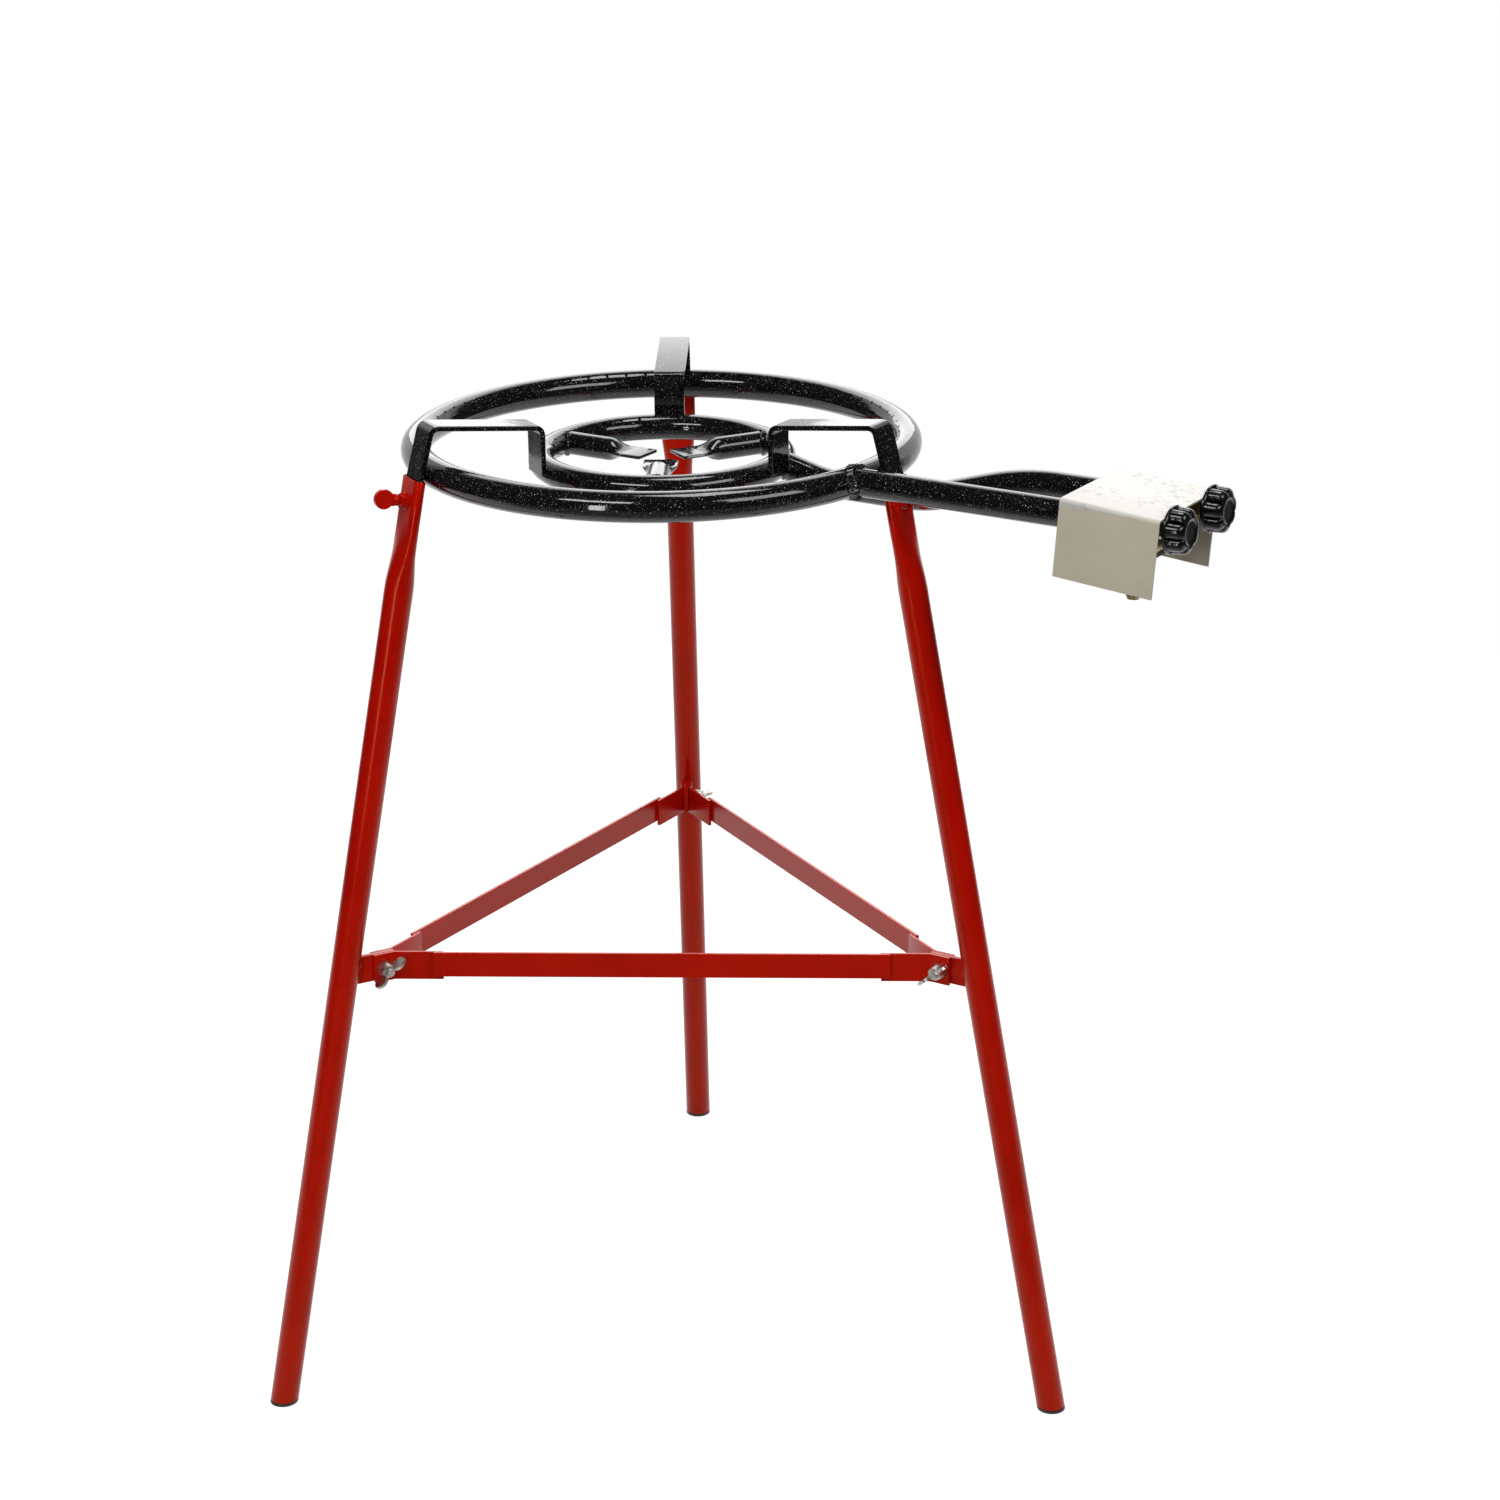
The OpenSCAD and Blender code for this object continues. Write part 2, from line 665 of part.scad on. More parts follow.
// The hose nozzle points down under the outer ring's tap, with ribs that hold a rubber hose.
module hose_nozzle() {
    hex_h = 6;
    rib_l = nozzle_l / 5;
    color([0.72, 0.55, 0.25])
    translate([tap_x, -outer_feed_y, feed_z - manifold_drop - manifold_d / 2 - seat]) mirror([0, 0, 1])
    difference() {
        union() {
            translate([0, 0, -3]) cylinder(d = tail_d - 1, h = 4);
            hexagon(14, hex_h);
            translate([0, 0, hex_h]) cylinder(d = nozzle_d - 1.6, h = nozzle_l);
            for (k = [0:4]) translate([0, 0, hex_h + k * rib_l]) {
                cylinder(d = nozzle_d, h = rib_l * 0.45);
                translate([0, 0, rib_l * 0.45])
                    cylinder(d1 = nozzle_d, d2 = nozzle_d - 1.6, h = rib_l * 0.4);
            }
        }
        translate([0, 0, -4]) cylinder(d = 5, h = hex_h + nozzle_l + 5);
    }
}

// A bushing closes the feed tube's mouth and holds the jet on its axis.
module jet_holder(side) {
    color([0.72, 0.55, 0.25])
    on_feed(side) rotate([0, 90, 0]) difference() {
        union() {
            translate([0, 0, -6]) cylinder(r = feed_wall_r - seat / 2, h = 7);
            translate([0, 0, seat]) cylinder(d = feed_tube, h = 2.3);
        }
        translate([0, 0, -7]) cylinder(d = 8 + seat, h = 12);
    }
}

module gas_jet(side) {
    color([0.72, 0.55, 0.25])
    on_feed(side) rotate([0, 90, 0]) difference() {
        union() {
            translate([0, 0, -7]) cylinder(d = 8, h = 9.5);
            translate([0, 0, -11]) cylinder(d1 = 4, d2 = 8, h = 4);
        }
        translate([0, 0, -9]) cylinder(d = 4, h = 12);
        translate([0, 0, -12]) cylinder(d = 1, h = 4);
    }
}

valve_end = 36;
chest_r = 9;
chest_l = 25;
shank_r = 7.5;
shank_start = 29;
neck_r = 6;
neck_l = 9;
plug_start = 13;
plug_l = 15;
gland_t = 5;

// The tap's body is turned, with a tapered bore for its plug and a tail into the manifold.
module valve_body(side) {
    color([0.72, 0.55, 0.25])
    on_feed(side) difference() {
        union() {
            rotate([0, 90, 0]) rotate_extrude() polygon([
                [0, 2.5 + seat], [neck_r, 2.5 + seat], [neck_r, neck_l], [chest_r, neck_l + 1],
                [chest_r, chest_l], [shank_r, shank_start], [shank_r, valve_end], [0, valve_end]
            ]);
            translate([tap_x - mouth_x, 0, -manifold_drop + manifold_d / 2 - 3])
                cylinder(d = tail_d, h = manifold_drop - manifold_d / 2);
        }
        rotate([0, 90, 0]) {
            translate([0, 0, plug_start - 0.5]) cylinder(r1 = 5, r2 = 4, h = plug_l + 1);
            translate([0, 0, 0]) cylinder(d = 4, h = valve_end);
            translate([0, 0, plug_start + plug_l]) cylinder(r = spindle_d / 2 + running, h = valve_end);
        }
        translate([tap_x - mouth_x, 0, -manifold_drop]) cylinder(d = 5, h = manifold_drop);
    }
}

module valve_plug(side) {
    color([0.72, 0.55, 0.25])
    on_feed(side) rotate([0, 90, 0]) difference() {
        translate([0, 0, plug_start]) cylinder(r1 = 4.9, r2 = 3.97, h = plug_l - 0.3);
        translate([0, 0, tap_x - mouth_x]) rotate([90, 0, 0]) cylinder(d = 3, h = 12, center = true);
    }
}

module gland_nut(side) {
    color([0.72, 0.55, 0.25])
    on_feed(side) translate([valve_end + seat, 0, 0]) rotate([0, 90, 0]) difference() {
        hexagon(14, gland_t);
        translate([0, 0, -1]) cylinder(r = spindle_d / 2 + running, h = gland_t + 2);
    }
}

spindle_end = knob_x - mouth_x + knob_l * 0.65;

module spindle(side) {
    flat_x = valve_end + gland_t + 4;
    color([0.75, 0.73, 0.7])
    on_feed(side) rotate([0, 90, 0]) difference() {
        translate([0, 0, plug_start + plug_l - 0.2])
            cylinder(d = spindle_d, h = spindle_end - plug_start - plug_l);
        translate([spindle_d / 2 - 1, -spindle_d, flat_x]) cube([spindle_d, spindle_d * 2, spindle_end]);
    }
}

// The knob's lobes are cut from a turned form with a skirt, a taper and a domed face.
module knob(side) {
    lobe_r = knob_d * 0.17;
    core_r = knob_d * 0.4;
    skirt_t = 2.5;
    dome_r = knob_d * 1.6;
    color([0.07, 0.07, 0.08])
    translate([knob_x, line_y(side), feed_z]) rotate([0, 90, 0]) difference() {
        union() {
            cylinder(d = knob_d, h = skirt_t);
            intersection() {
                linear_extrude(knob_l) {
                    circle(r = core_r);
                    for (k = [0:knob_lobes - 1]) rotate(k * 360 / knob_lobes)
                        translate([knob_d / 2 - lobe_r - 0.3, 0]) circle(r = lobe_r);
                }
                translate([0, 0, knob_l - dome_r]) sphere(r = dome_r);
                cylinder(d1 = knob_d, d2 = knob_d - 3, h = knob_l);
            }
        }
        translate([0, 0, -1]) difference() {
            cylinder(d = spindle_d + 2 * running, h = spindle_end - knob_x + mouth_x + 1.3);
            translate([spindle_d / 2 - 1 + seat, -spindle_d, 0]) cube([spindle_d, spindle_d * 2, knob_l]);
        }
    }
}

// Moves children to the cover's frame: its rear top edge, with x along the drooping top.
module on_cover() {
    translate([cover_x, cover_y_mid, feed_z + cover_rise]) rotate([0, cover_droop, 0]) children();
}

module control_cover() {
    half = cover_w / 2 - cover_t / 2;
    path = [
        [-half, -cover_h], [-half, -cover_t / 2], [half, -cover_t / 2], [half, -cover_h]
    ];
    color([0.8, 0.77, 0.68])
    on_cover() rotate([90, 0, 90]) linear_extrude(cover_l) bent_strip(path, cover_t, cover_t / 2 + 1.5, 4);
}

// The strap is welded across both feed tubes, and the cover is welded to it.
module cover_strap() {
    strap_x = 4;
    strap_w = 12;
    strap_t = cover_rise - feed_tube / 2 - cover_t - (strap_x + strap_w) * tan(cover_droop) - 2 * seat;
    color([0.09, 0.09, 0.1])
    on_cover() translate([strap_x, head_y_mid - cover_y_mid - tap_half - 8, -cover_t - seat - strap_t])
        cube([strap_w, 2 * tap_half + 16, strap_t]);
}

// The panel hangs across the cover behind the taps' shoulders, and their necks pass through it.
module tap_panel() {
    panel_x = mouth_x + neck_l - cover_t - seat;
    half = cover_w / 2 - cover_t - seat;
    corner = 2;
    top = cover_rise - cover_t - (panel_x + cover_t - cover_x) * tan(cover_droop) - 2 * seat;
    bottom = top - panel_h;
    color([0.8, 0.77, 0.68])
    difference() {
        translate([panel_x, cover_y_mid, feed_z]) rotate([90, 0, 90]) linear_extrude(cover_t) polygon([
            [-half, bottom], [half, bottom], [half, top - corner],
            [half - corner, top], [-half + corner, top], [-half, top - corner]
        ]);
        for (side = [-1, 1]) on_feed(side) rotate([0, 90, 0]) cylinder(r = neck_r + hole_play, h = neck_l + 1);
    }
}

outer_ring();
inner_ring();
burner_finger(1);  // burner_finger_1
burner_finger(2);  // burner_finger_2
burner_finger(3);  // burner_finger_3
outer_feed_tube();
inner_feed_tube();
pan_support(1);  // pan_support_1
pan_support(2);  // pan_support_2
pan_support(3);  // pan_support_3
leg(1);  // leg_1
leg(2);  // leg_2
leg(3);  // leg_3
foot_plug(1);  // foot_plug_1
foot_plug(2);  // foot_plug_2
foot_plug(3);  // foot_plug_3
weld_nuts();
thumb_screw(1);  // thumb_screw_1
thumb_screw(2);  // thumb_screw_2
thumb_screw(3);  // thumb_screw_3
brace_tab(1);  // brace_tab_1
brace_tab(2);  // brace_tab_2
brace_tab(3);  // brace_tab_3
brace_bar(1);  // brace_bar_1
brace_bar(2);  // brace_bar_2
brace_bar(3);  // brace_bar_3
brace_cheek(1);  // brace_cheek_1
brace_cheek(2);  // brace_cheek_2
brace_cheek(3);  // brace_cheek_3
brace_cheek(4);  // brace_cheek_4
brace_cheek(5);  // brace_cheek_5
brace_cheek(6);  // brace_cheek_6
brace_bolt(1);  // brace_bolt_1
brace_bolt(2);  // brace_bolt_2
brace_bolt(3);  // brace_bolt_3
brace_washers();
wing_nut(1);  // wing_nut_1
wing_nut(2);  // wing_nut_2
wing_nut(3);  // wing_nut_3
gas_manifold();
manifold_plugs();
hose_nozzle();
jet_holder(-1);  // outer_jet_holder
jet_holder(1);  // inner_jet_holder
gas_jet(-1);  // outer_gas_jet
gas_jet(1);  // inner_gas_jet
valve_body(-1);  // outer_valve_body
valve_body(1);  // inner_valve_body
valve_plug(-1);  // outer_valve_plug
valve_plug(1);  // inner_valve_plug
gland_nut(-1);  // outer_gland_nut
gland_nut(1);  // inner_gland_nut
spindle(-1);  // outer_spindle
spindle(1);  // inner_spindle
knob(-1);  // outer_knob
knob(1);  // inner_knob
tap_panel();
cover_strap();
control_cover();
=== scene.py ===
# %% [markdown]
# # A two-ring gas burner on its stand
# This lesson dresses a burner of the kind that carries a wide, flat pan outdoors. The solid model
# is loaded first and stays where it is: the rings, legs, brace, taps and fasteners already have
# their true shapes. What is left for Blender is the finish of every surface, and the small forms
# that make the thing look made by people: weld beads, pressed tube ends, smooth bends, moulded
# knobs and the softened edges of paint and enamel.

# %% Load the solid model
import json
import math

import bmesh
import bpy
from mathutils import Matrix, Vector, noise

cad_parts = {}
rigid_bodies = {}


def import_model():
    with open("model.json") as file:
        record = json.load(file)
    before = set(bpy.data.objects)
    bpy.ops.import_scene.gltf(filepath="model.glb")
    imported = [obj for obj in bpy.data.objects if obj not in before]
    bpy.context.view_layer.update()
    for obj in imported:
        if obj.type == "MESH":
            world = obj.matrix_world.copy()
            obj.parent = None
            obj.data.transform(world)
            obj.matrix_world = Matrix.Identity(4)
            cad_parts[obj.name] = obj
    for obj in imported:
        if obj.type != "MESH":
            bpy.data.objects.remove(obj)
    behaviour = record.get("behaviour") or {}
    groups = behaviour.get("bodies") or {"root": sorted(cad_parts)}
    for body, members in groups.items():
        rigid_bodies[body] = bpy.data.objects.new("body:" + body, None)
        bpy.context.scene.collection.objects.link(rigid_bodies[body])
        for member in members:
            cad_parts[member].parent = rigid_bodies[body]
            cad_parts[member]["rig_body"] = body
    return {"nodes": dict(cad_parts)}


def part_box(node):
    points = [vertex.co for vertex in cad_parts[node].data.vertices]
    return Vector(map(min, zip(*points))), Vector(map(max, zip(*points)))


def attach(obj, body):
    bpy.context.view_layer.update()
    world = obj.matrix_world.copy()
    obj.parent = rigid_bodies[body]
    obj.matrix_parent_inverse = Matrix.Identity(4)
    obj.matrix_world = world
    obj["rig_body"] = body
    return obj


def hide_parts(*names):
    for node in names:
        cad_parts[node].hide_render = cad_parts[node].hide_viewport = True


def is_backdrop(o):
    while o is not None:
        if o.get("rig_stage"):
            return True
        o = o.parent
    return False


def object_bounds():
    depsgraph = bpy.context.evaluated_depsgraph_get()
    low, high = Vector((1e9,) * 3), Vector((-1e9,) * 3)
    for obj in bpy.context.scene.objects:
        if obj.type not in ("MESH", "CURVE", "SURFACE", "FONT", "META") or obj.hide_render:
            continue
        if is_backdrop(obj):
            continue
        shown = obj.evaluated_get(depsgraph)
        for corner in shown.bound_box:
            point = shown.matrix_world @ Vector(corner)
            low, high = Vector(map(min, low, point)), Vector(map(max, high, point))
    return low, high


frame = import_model()
nodes = frame["nodes"]
cad_low, cad_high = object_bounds()
MM = 0.001
print(f"{len(nodes)} solids, {cad_high.z - cad_low.z:.3f} m high")

# %% [markdown]
# ## Shader maths that reads like maths
# A material in Blender is a graph of nodes. Written out node by node, even a simple mask becomes
# a page of links. So one small class holds an output socket, and Python's own operators add the
# Math nodes. `mask * 0.4 + 0.1` then builds two nodes and wires them. Colours never go through
# these operators, because a Math node would turn them grey.


# %% A value in a shader, and the graph that it lives in
class Value:
    """A number that varies over a surface. Operators on it add Math nodes."""

    def __init__(self, graph, socket):
        self.graph = graph
        self.socket = socket

    def math(self, operation, *others):
        return self.graph.node("ShaderNodeMath", {"operation": operation}, self, *others)

    def __add__(self, other):
        return self.math("ADD", other)

    def __sub__(self, other):
        return self.math("SUBTRACT", other)

    def __mul__(self, other):
        return self.math("MULTIPLY", other)

    def __lt__(self, other):
        return self.math("LESS_THAN", other)

    def smooth(self, low, high):
        """0 below low, 1 above high, and an S-curve between. Low may be the larger number."""
        settings = {"interpolation_type": "SMOOTHSTEP"}
        return self.graph.node("ShaderNodeMapRange", settings, self, low, high)


class Graph:
    """The node graph of one material, with its Principled shader."""

    def __init__(self, name):
        self.material = bpy.data.materials.new(name)
        self.material.use_nodes = True
        self.tree = self.material.node_tree
        self.shader = self.tree.nodes["Principled BSDF"]
        place = self.tree.nodes.new("ShaderNodeTexCoord")
        self.place = Value(self, place.outputs["Object"])

    def node(self, kind, settings, *inputs, out=0, **named):
        """Adds any node: its settings first, then the values or links of its sockets."""
        made = self.tree.nodes.new(kind)
        for key, value in settings.items():
            setattr(made, key, value)
        by_name = [(made.inputs[key], value) for key, value in named.items()]
        for socket, value in [*zip(made.inputs, inputs), *by_name]:
            self.feed(socket, value)
        return Value(self, made.outputs[out])

    def feed(self, socket, value):
        if isinstance(value, Value):
            self.tree.links.new(value.socket, socket)
        else:
            socket.default_value = value

    def set(self, **sockets):
        """Feeds the Principled shader. Base_Color stands for the socket Base Color."""
        for key, value in sockets.items():
            self.feed(self.shader.inputs[key.replace("_", " ")], value)

    def noise(self, scale, detail=2.0, roughness=0.5):
        sockets = {"Vector": self.place, "Scale": scale, "Detail": detail, "Roughness": roughness}
        return self.node("ShaderNodeTexNoise", {}, **sockets)

    def mix(self, share, low, high):
        """Blends two colours."""
        made = self.tree.nodes.new("ShaderNodeMix")
        made.data_type = "RGBA"
        self.feed(made.inputs["Factor"], share)
        for key, colour in (("A", low), ("B", high)):
            socket = next(s for s in made.inputs if s.name == key and s.type == "RGBA")
            self.feed(socket, colour)
        return Value(self, next(s for s in made.outputs if s.type == "RGBA"))

    def bump(self, height, depth, strength=1.0):
        """Turns a height of 0 to 1 into a surface normal, depth metres from low to high."""
        relief = self.node("ShaderNodeBump", {}, Strength=strength, Distance=depth, Height=height)
        self.set(Normal=relief)


def paint(red, green, blue):
    """A colour given as it looks on a screen, from 0 to 255, as the shader's linear numbers."""
    return (*[((c / 255 + 0.055) / 1.055) ** 2.4 if c > 10 else c / 3294.6 for c in (red, green, blue)], 1.0)


print("Shader helpers ready")

# %% [markdown]
# ## Speckled enamel
# The burner is steel under vitreous enamel: black glass, fired on, with a scatter of pale
# specks from the frit. Each speck is a small disc where a Voronoi cell's distance is short.
# Two sizes of cell give coarse and fine specks, and the cell's own random colour leaves some
# out and dims others, so that they don't look like a grid. The glass itself is smooth, with the
# slow waviness of something that has flowed.


# %% Speckled enamel
def specks(graph, per_metre, radius, share):
    """A mask of round specks: radius is a share of the cell, and share is how many cells have one."""
    settings = {"feature": "F1"}
    reach = graph.node("ShaderNodeTexVoronoi", settings, Vector=graph.place, Scale=per_metre, out=0)
    dice = graph.node("ShaderNodeTexVoronoi", settings, Vector=graph.place, Scale=per_metre, out=1)
    lot = graph.node("ShaderNodeSeparateColor", {}, dice)
    return reach.smooth(radius, radius * 0.55) * (lot < share) * (lot * (0.6 / share) + 0.4)


def speckled_enamel():
    g = Graph("speckled_enamel")
    coarse = specks(g, 420, 0.2, 0.42)
    fine = specks(g, 860, 0.26, 0.6)
    waviness = g.noise(75, 3)
    fleck = coarse.math("MAXIMUM", fine * 0.6)
    g.set(Base_Color=g.mix(fleck, paint(12, 12, 15), paint(188, 188, 184)))
    g.set(Roughness=waviness * 0.06 + 0.05 + fleck * 0.16)
    g.bump(waviness * 0.8 + g.noise(420, 2) * 0.14 + fleck * 0.1, 0.4 * MM, 0.4)
    g.set(IOR=1.48)
    return g.material


enamel = speckled_enamel()
print("Made", enamel.name)

# %% [markdown]
# ## Red paint
# The stand is painted red, after welding. Sprayed gloss paint on tube is never flat: its tone
# drifts, it has a fine orange peel, and here and there a small chip shows the brown below. Two
# slow noises move the tone, and a fast one gives the peel its bump. Its gloss is tinted red,
# so that reflections deepen the colour instead of greying it.


# %% Red paint
RED_GLOSS = (1.0, 0.42, 0.2, 1.0)


def red_paint():
    g = Graph("red_paint")
    tone = g.noise(24, 4, 0.55)
    cloud = g.noise(7, 2)
    chips = (g.noise(520, 4, 0.62) * 0.5 + g.noise(60, 3) * 0.5).smooth(0.705, 0.74)
    body = g.mix(tone.smooth(0.3, 0.7), paint(180, 10, 0), paint(192, 16, 2))
    body = g.mix(cloud.smooth(0.35, 0.7) * 0.4, body, paint(200, 24, 6))
    g.set(Base_Color=g.mix(chips, body, paint(96, 26, 18)))
    g.set(Roughness=tone * 0.12 + 0.16 + chips * 0.3)
    g.bump(g.noise(640, 2) * 0.3 + g.noise(130, 3) * 0.5 - chips * 0.6, 0.2 * MM, 0.5)
    g.set(IOR=1.42, Specular_Tint=RED_GLOSS)
    return g.material


red = red_paint()
print("Made", red.name)

# %% [markdown]
# ## Plastics
# The knobs are moulded thermoset plastic, hard and nearly black, with a fine spark-eroded
# grain on the grip. The feet are softer black plastic that has rubbed grey on the floor.


# %% Knob plastic and foot plastic
def knob_plastic():
    g = Graph("knob_plastic")
    grain = g.noise(1500, 3, 0.6)
    g.set(Base_Color=g.mix(grain, paint(6, 8, 8), paint(13, 15, 15)))
    g.set(Roughness=g.noise(160, 3) * 0.12 + 0.12)
    g.bump(grain, 0.06 * MM, 0.6)
    g.set(IOR=1.5)
    return g.material


def foot_plastic():
    g = Graph("foot_plastic")
    scuff = g.noise(220, 4, 0.65).smooth(0.52, 0.7)
    g.set(Base_Color=g.mix(scuff, paint(20, 19, 18), paint(62, 58, 54)))
    g.set(Roughness=scuff * 0.25 + 0.5)
    g.bump(g.noise(900, 3) - scuff * 0.4, 0.1 * MM, 0.6)
    return g.material


black_plastic = knob_plastic()
foot_black = foot_plastic()
print("Made", black_plastic.name, "and", foot_black.name)

# %% [markdown]
# ## Bare metals
# Bolts and wing nuts are zinc plated: a pale grey metal whose crystals show as faint patches.
# The taps and the manifold are turned brass, with fine rings from the lathe tool that only the
# roughness and a shallow bump show, and a brown tarnish in patches.


# %% Zinc and brass
def zinc_plate():
    g = Graph("zinc_plate")
    patches = g.node("ShaderNodeTexVoronoi", {"feature": "F1"}, Vector=g.place, Scale=420.0, out=1)
    patch = g.node("ShaderNodeSeparateColor", {}, patches)
    dull = g.noise(150, 4, 0.6).smooth(0.4, 0.72)
    bright = g.mix(patch, paint(186, 182, 172), paint(214, 210, 200))
    g.set(Base_Color=g.mix(dull * 0.6, bright, paint(150, 146, 138)))
    g.set(Roughness=patch * 0.12 + 0.26 + dull * 0.22)
    g.set(Metallic=1.0)
    g.bump(g.noise(800, 3), 0.05 * MM, 0.5)
    return g.material


def turned_brass():
    g = Graph("turned_brass")
    tarnish = g.noise(70, 5, 0.6).smooth(0.45, 0.72)
    marks = g.node("ShaderNodeTexWave", {"bands_direction": "X"}, Vector=g.place, Scale=700.0, Distortion=0.6)
    g.set(Base_Color=g.mix(tarnish, paint(140, 124, 78), paint(76, 66, 38)))
    g.set(Roughness=tarnish * 0.3 + 0.3 + marks * 0.08)
    g.set(Metallic=1.0)
    g.bump(marks * 0.4 + g.noise(500, 3) * 0.6, 0.06 * MM, 0.4)
    return g.material


zinc = zinc_plate()
brass = turned_brass()
print("Made", zinc.name, "and", brass.name)

# %% [markdown]
# ## The cover's stoved paint
# The control cover is bent from one sheet and stoved in a warm cream, with a fine, low peel. Its
# top is painted a paler, neutral white, a painted highlight for the light that falls on it from
# above, and it carries faint grey smears; a mask by height lets both reach only a few millimetres
# down the sides. The panel behind the knobs has the same cream paint, but it stands in the shade
# under the top, so it gets a dark olive painted shade, mottled in patches.


# %% Cover paint
TOP_FALL = 6.4 * MM
cover_top_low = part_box("control_cover")[1].z - TOP_FALL


def cover_paint():
    g = Graph("cover_paint")
    cloud = g.noise(16, 4, 0.55)
    dust = g.noise(340, 4, 0.6).smooth(0.62, 0.78)
    height = g.node("ShaderNodeSeparateXYZ", {}, g.place, out=2)
    on_top = height.smooth(cover_top_low, cover_top_low + 0.5 * MM)
    smear = g.noise(150, 5, 0.7).smooth(0.52, 0.62) * g.noise(34, 2).smooth(0.42, 0.56) * on_top
    base = g.mix(cloud.smooth(0.3, 0.7), paint(199, 191, 169), paint(207, 199, 178))
    base = g.mix(dust * 0.4, base, paint(172, 163, 140))
    # Painted highlight: the top is mixed towards a neutral white, for the light that falls on it from above.
    base = g.mix(on_top * 0.7, base, paint(203, 202, 202))
    g.set(Base_Color=g.mix(smear * 0.6, base, paint(146, 142, 146)))
    g.set(Roughness=cloud * 0.12 + 0.34)
    g.bump(g.noise(620, 2), 0.1 * MM, 0.4)
    g.set(IOR=1.48)
    return g.material


def panel_painted_shade():
    g = Graph("cover_paint_in_painted_shade")
    shade_mottle = g.noise(45, 4, 0.6)
    # Both olive colours are painted shade: the cream panel as it looks in the shadow under the cover's top.
    g.set(Base_Color=g.mix(shade_mottle.smooth(0.35, 0.65), paint(104, 97, 58), paint(58, 52, 30)))
    g.set(Roughness=shade_mottle * 0.2 + 0.35)
    g.bump(g.noise(620, 2), 0.1 * MM, 0.4)
    g.set(IOR=1.48)
    return g.material


cream = cover_paint()
panel_shade_paint = panel_painted_shade()
print("Made", cream.name, "and", panel_shade_paint.name)

# %% [markdown]
# ## Put the finishes on the solids
# Every solid came with a plain material named after its finish, so a dictionary from that name
# to the new material dresses them all.

# %% Dress the solids
FINISH = {
    "black_enamel": enamel,
    "red_paint": red,
    "black_plug": foot_black,
    "zinc": zinc,
    "knob_plastic": black_plastic,
    "cover_sheet": cream,
    "brass": brass,
}

slot_of = {}
for name, solid in nodes.items():
    slot_of[name] = solid.material_slots[0].material.name
    for slot in solid.material_slots:
        slot.material = FINISH[slot.material.name]
print("Dressed", len(nodes), "solids")

# %% [markdown]
# ## From a mesh to a piece
# Every new piece is drawn in millimetres, like the solids' own drawings, and scaled to metres at
# the very end. It then rides on the body that carries it. Faces that meet at a low angle are
# shaded as one smooth surface, and the others keep a crisp edge.


# %% Finish a piece
def finish_piece(bm, name, material, body="stand", stands_for=(), crease=40.0):
    """Turns a bmesh drawn in millimetres into a piece that rides on its body."""
    bmesh.ops.recalc_face_normals(bm, faces=bm.faces)
    bmesh.ops.scale(bm, vec=(MM, MM, MM), verts=bm.verts)
    for face in bm.faces:
        face.smooth = True
    mesh = bpy.data.meshes.new(name)
    bm.to_mesh(mesh)
    bm.free()
    mesh.set_sharp_from_angle(angle=math.radians(crease))
    mesh.materials.append(material)
    piece = bpy.data.objects.new(name, mesh)
    bpy.context.scene.collection.objects.link(piece)
    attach(piece, body)
    if stands_for:
        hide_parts(*stands_for)
    return piece


print("Ready to finish pieces")

# %% [markdown]
# ## Soft edges on flat bar and sheet
# Bar and sheet never have razor edges: the rolling mill rounds them, and paint or enamel rounds
# them more. That narrow round is what draws a bright line along an edge. A solid arrives as loose
# triangles, so a copy of it is merged, its flat faces are joined up again, and then only the edges
# that really turn a corner are bevelled. Small fasteners get a finer round than bars.


# %% Soften the edges of a solid
# Faces within the first angle, in degrees, are one flat face; past the second is a real edge.
FLAT_TURNS = 0.6
EDGE_TURNS = 35.0


def soften(node, width, segments=2):
    """Puts a copy with rounded edges in a solid's place."""
    solid = nodes[node]
    bm = bmesh.new()
    bm.from_mesh(solid.data)
    bmesh.ops.scale(bm, vec=(1 / MM, 1 / MM, 1 / MM), verts=bm.verts)
    bmesh.ops.remove_doubles(bm, verts=bm.verts, dist=0.004)
    bmesh.ops.dissolve_limit(bm, angle_limit=math.radians(FLAT_TURNS), verts=bm.verts, edges=bm.edges)
    inner = [edge for edge in bm.edges if len(edge.link_faces) == 2]
    turned = [edge for edge in inner if edge.calc_face_angle() > math.radians(EDGE_TURNS)]
    bmesh.ops.bevel(
        bm, geom=turned, offset=width, affect="EDGES", segments=segments, profile=0.5, material=-1,
        clamp_overlap=True,
    )
    slot_name = slot_of[node]
    # The tap panel gets the dark olive painted shade instead of its cream paint.
    finish = panel_shade_paint if node == "tap_panel" else FINISH[slot_name]
    return finish_piece(bm, f"{node}_eased", finish, solid["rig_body"], (node,), crease=25.0)


SOFT_EDGES = {
    "pan_support": 0.6, "brace_bar": 0.5, "brace_cheek": 0.4, "brace_tab": 0.5, "foot_plug": 0.7,
    "thumb_screw": 0.5, "brace_bolt": 0.35, "wing_nut": 0.35, "control_cover": 0.3, "tap_panel": 0.3,
}
for node in nodes:
    for family, width in SOFT_EDGES.items():
        if node.startswith(family):
            soften(node, width)
print("Softened", sum(node.startswith(tuple(SOFT_EDGES)) for node in nodes), "solids")

# %% [markdown]
# ## One way to draw tube
# Legs, fingers, bent pipe, weld beads and even the knobs are all the same kind of shape: an
# outline that travels along a line and changes as it goes. So one function extrudes a ring of
# edges from station to station. A station is a matrix, which says where the outline is, and the
# outline itself, a function from an angle to a point.


